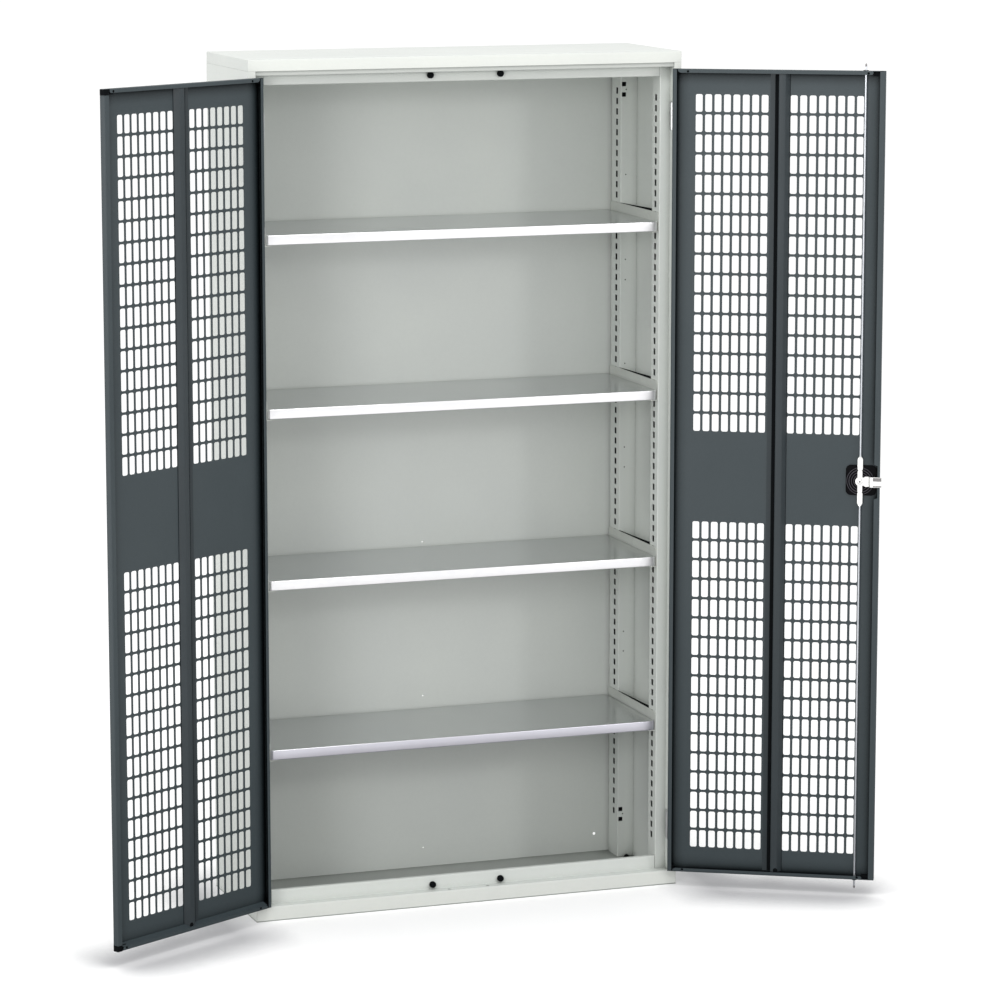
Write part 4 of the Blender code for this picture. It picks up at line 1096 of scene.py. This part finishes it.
def makeNut():
    # a round nut with a drive socket
    shape = bmesh.new()
    s, thick = nut.socket, nut.thick
    dome = [(nut.radius * share, thick - drop) for share, drop in nut.dome]
    socket = [(s, thick), (s, thick - nut.socketWall), (0, thick - nut.socketEnd)]
    turned(shape, lockPlace(nut.start), [(0, 0), (nut.radius, 0), *dome, *socket])
    finishPiece("camNut", shape, lockZinc, "lock_turn", "lock_nut")


def makeNutSocket():
    # a black disc at the bottom of the nut's socket, painted shade that shows it as a dark dot
    shape = bmesh.new()
    r, top = nut.socket - socketFace.gap, nut.thick - socketFace.deep
    bottom = top - socketFace.thick
    turned(shape, lockPlace(nut.start), [(0, bottom), (r, bottom), (r, top), (0, top)], steps=24)
    finishPiece("camNutSocket", shape, blackPrimer, "lock_turn", "", slot="lock_zinc")


def makeGrip():
    shape = bmesh.new()
    wide, tall, inner, outer = grip.width / 2, grip.length / 2, grip.inner, grip.outer
    sections = [(inner - away, wide - a, tall - b, grip.power) for away, a, b in grip.innerSections]
    sections += [(outer + away, wide - a, tall - b, grip.power) for away, a, b in grip.outerSections]
    lofted(shape, lockPlace(), sections, steps=48)
    hub = [(grip.hub - a, inner - away) for a, away in grip.hubSteps]
    turned(shape, lockPlace(), [(0, inner), *hub, (0, inner - grip.hubEnd)], steps=48)
    finishPiece("lockGrip", shape, blackPlastic, "lock_turn", "lock_handle")


def makeKeyBarrel():
    shape = bmesh.new()
    b, r, place = keyBarrel, keyBarrel.radius, lockPlace(keyBarrel.face)
    keyway = dict(at=(0, 0), size=b.slot, corner=b.slotCorner, steps=2)
    punchedSheet(shape, place, roundHole((0, 0), 2 * r, steps=8), [keyway], b.slotDepth, b.edge)
    turned(shape, place, [(0, b.slotDepth), (r, b.slotDepth), (r, b.depth), (0, b.depth)])
    finishPiece("keyBarrel", shape, barrelChrome, "key_barrel", "lock_barrel")


# each section is a distance from the blade's start or end, or back from the tip,
# half its width and depth, and how square it is
rod = Sizes(radius=2.4, inset=8.5, bladeStart=26, bladeEnd=56, ends=(("Upper", 1, 1977), ("Lower", -1, 16)),
            bladeSections=((0, 4.8, 1.0, 6), (3, 6.3, 1.0, 8)), necks=((-4, 6.3, 1.0, 8), (0, 4.6, 1.6, 4)),
            roundFrom=(3, 6), tipShares=((7, 1), (2.5, 0.85), (0.6, 0.5)), tipEnd=0.4,
            plainTo=4, platedFrom=2)
guide = Sizes(radius=4.5, flange=6.5, flangeSheet=1.0, length=6, bore=3.4, chamfer=0.5, chamferDrop=0.4)


def rodPlating(face):
    # the blade is plated like the lock and the wire more thinly; the tips beyond the door's ends
    # are painted dark, a painted shade like the shadow the lower tip stands in
    level = face.center.z / mm
    if not door.low < level < door.high + rod.plainTo:
        return 2
    return abs(level - lock.level) > rod.bladeEnd + rod.platedFrom


def makeRod(label, way, tip):
    shape = bmesh.new()
    place = lockPlace(rod.inset, "in back up")
    r, end, start = rod.radius, abs(tip - lock.level), rod.bladeEnd
    sections = [(rod.bladeStart + away, *rest) for away, *rest in rod.bladeSections]
    sections += [(start + away, *rest) for away, *rest in rod.necks]
    sections += [(start + away, r, r, 2) for away in rod.roundFrom]
    sections += [(end - back, r * share, r * share, 2) for back, share in rod.tipShares]
    sections.append((end, rod.tipEnd, rod.tipEnd, 2))
    lofted(shape, place, [(way * level, *rest) for level, *rest in sections])
    finishPiece("lockRod" + label, shape, lockZinc, "rod_" + label.lower(), others=(rodZinc, wornSteel),
                chosen=rodPlating)


def makeRodGuide(label, way):
    # a bush in the door's end flange
    shape = bmesh.new()
    level = (door.high if way > 0 else door.low) - lock.level + way * gap
    g, f, b = guide.radius, guide.flange, guide.bore
    top, drop = level + way * guide.flangeSheet, way * guide.chamferDrop
    foot = top - way * guide.length
    collar = [(f - guide.chamfer, top), (f, top - drop), (f, level)]
    profile = [(b, top), *collar, (g, level), (g, foot), (b, foot), (b, top)]
    turned(shape, lockPlace(rod.inset, "in back up"), profile)
    finishPiece("rodGuide" + label, shape, blackPlastic, "door_right")


makeLockCase()
makeCaseRings()
makeLockPlate()
makeCam()
makeTonguePads()
makeNut()
makeNutSocket()
makeGrip()
makeKeyBarrel()
for label, way, tip in rod.ends:
    makeRod(label, way, tip)
    makeRodGuide(label, way)
coatNode("lock_spindle", lockZinc)
print("lock made")


# Stage, light and camera, in metres

stage = Sizes(
    reach=60,
    floorColour="#C6C6C6",  # as the object sees it, in diffuse light
    floorLift=0.14,         # what makes the paper read as white where it is seen
    contact=0.21, contactRange=(0.77, 0.99), contactShade="#A2A2A5", samples=24,
    contactFrom=(0.46, 0.60),       # how far out from the middle the doors' own shadow starts
    # painted shade: glossy rays see the paper near the cabinet darker
    mirrorRange=(0.5, 3.0), mirrorShade="#8C8C8C",  # the paper near the cabinet, as the doors' sheen shows it
    ambient=0.92,           # world light, where 1 shows a colour as written
    target=(0, 0, 1.0),
    lamps=(
        dict(name="softBoxTop", at=(0.0, -2.3, 4.8), size=1.4, power=42),
        dict(name="softBoxLeft", at=(-5.2, -6.0, 2.6), size=2.4, power=108),
        dict(name="softBoxRight", at=(4.5, -6.5, 3.2), size=0.9, power=48),
        dict(name="softBoxSide", at=(-7.4, -0.6, 2.8), size=2.0, power=80)))
white = (1, 1, 1, 1)
camera = Sizes(at=(-3.0684, -9.0286, 2.5533), yaw=-0.34121, pitch=0.16762,
               lens=146.82, sensor=36, clipEnd=200)


def addSeen(tree):
    # 1 for a ray from the camera, a gloss or a window, and 0 for scattered light
    path = addNode(tree, "ShaderNodeLightPath").outputs
    seen = addMath(tree, "MAXIMUM", path["Is Camera Ray"], path["Is Glossy Ray"])
    return addMath(tree, "MAXIMUM", seen, path["Is Transmission Ray"]), path["Is Glossy Ray"]


def whitePaper():
    # a white paper floor: seen as white, with the soft shadow left on it
    material, tree, shader, spot = newFinish("whitePaper")
    seen, glossy = addSeen(tree)
    # a painted contact shadow darkens the paper close under the doors; it is kept off the middle, in front of
    # the plinth
    close = addNode(tree, "ShaderNodeAmbientOcclusion", {"samples": stage.samples, "Distance": stage.contact})
    near = addRange(tree, close.outputs["AO"], stage.contactRange)
    across = addNode(tree, "ShaderNodeSeparateXYZ", None, {"Vector": spot}).outputs["X"]
    middle = addRange(tree, addMath(tree, "ABSOLUTE", across), stage.contactFrom, (1.0, 0.0))
    paper = addMix(tree, addMath(tree, "MAXIMUM", near, middle), stage.contactShade, "#FFFFFF")
    shown = addMix(tree, seen, stage.floorColour, paper)
    # glossy rays see the paper near the cabinet painted darker, a painted shade in what the doors' sheen
    # reflects
    away = addNode(tree, "ShaderNodeVectorMath", {"operation": "LENGTH"}, {0: spot}).outputs["Value"]
    direct = addMath(tree, "SUBTRACT", 1.0, glossy)
    reflectionShadeClear = addMath(tree, "MAXIMUM", addRange(tree, away, stage.mirrorRange), direct)
    lift = addMath(tree, "MULTIPLY", seen, stage.floorLift)
    fillNode(tree, shader, {"Emission Color": white, "Roughness": 1.0, "Specular IOR Level": 0.0}, {
        "Base Color": addMix(tree, reflectionShadeClear, stage.mirrorShade, shown),
        "Emission Strength": addMath(tree, "MULTIPLY", lift, reflectionShadeClear)})
    return material


def makeFloor():
    shape = bmesh.new()
    reach = stage.reach
    shape.faces.new([shape.verts.new((x, y, 0.0)) for x, y in rectangle(-reach, -reach, reach, reach)])
    mesh = bpy.data.meshes.new("studioFloor")
    shape.to_mesh(mesh)
    shape.free()
    mesh.materials.append(whitePaper())
    floor = bpy.data.objects.new("studioFloor", mesh)
    bpy.context.scene.collection.objects.link(floor)


def makeWorld():
    world = bpy.data.worlds.new("studioWorld")
    bpy.context.scene.world = world
    world.use_nodes = True
    tree = world.node_tree
    strength = addRange(tree, addSeen(tree)[0], target=(stage.ambient, 1.0))
    fillNode(tree, tree.nodes["Background"], {"Color": white}, {"Strength": strength})


def makeLamp(name, at, size, power):
    lamp = bpy.data.lights.new(name, "AREA")
    lamp.shape = "DISK"
    lamp.size = size
    lamp.energy = power
    item = bpy.data.objects.new(name, lamp)
    item.location = at
    item.rotation_mode = "QUATERNION"
    item.rotation_quaternion = (Vector(at) - Vector(stage.target)).to_track_quat("Z", "Y")
    bpy.context.scene.collection.objects.link(item)


def makeCamera():
    data = bpy.data.cameras.new("camera")
    data.lens = camera.lens
    data.sensor_width = camera.sensor
    data.clip_end = camera.clipEnd
    item = bpy.data.objects.new("camera", data)
    item.location = camera.at
    item.rotation_euler = (quarterTurn - camera.pitch, 0, camera.yaw)
    bpy.context.scene.collection.objects.link(item)
    bpy.context.scene.camera = item


makeFloor()
makeWorld()
for lamp in stage.lamps:
    makeLamp(**lamp)
makeCamera()
bpy.context.scene.view_settings.view_transform = "Standard"
print("stage, lamps and camera made")
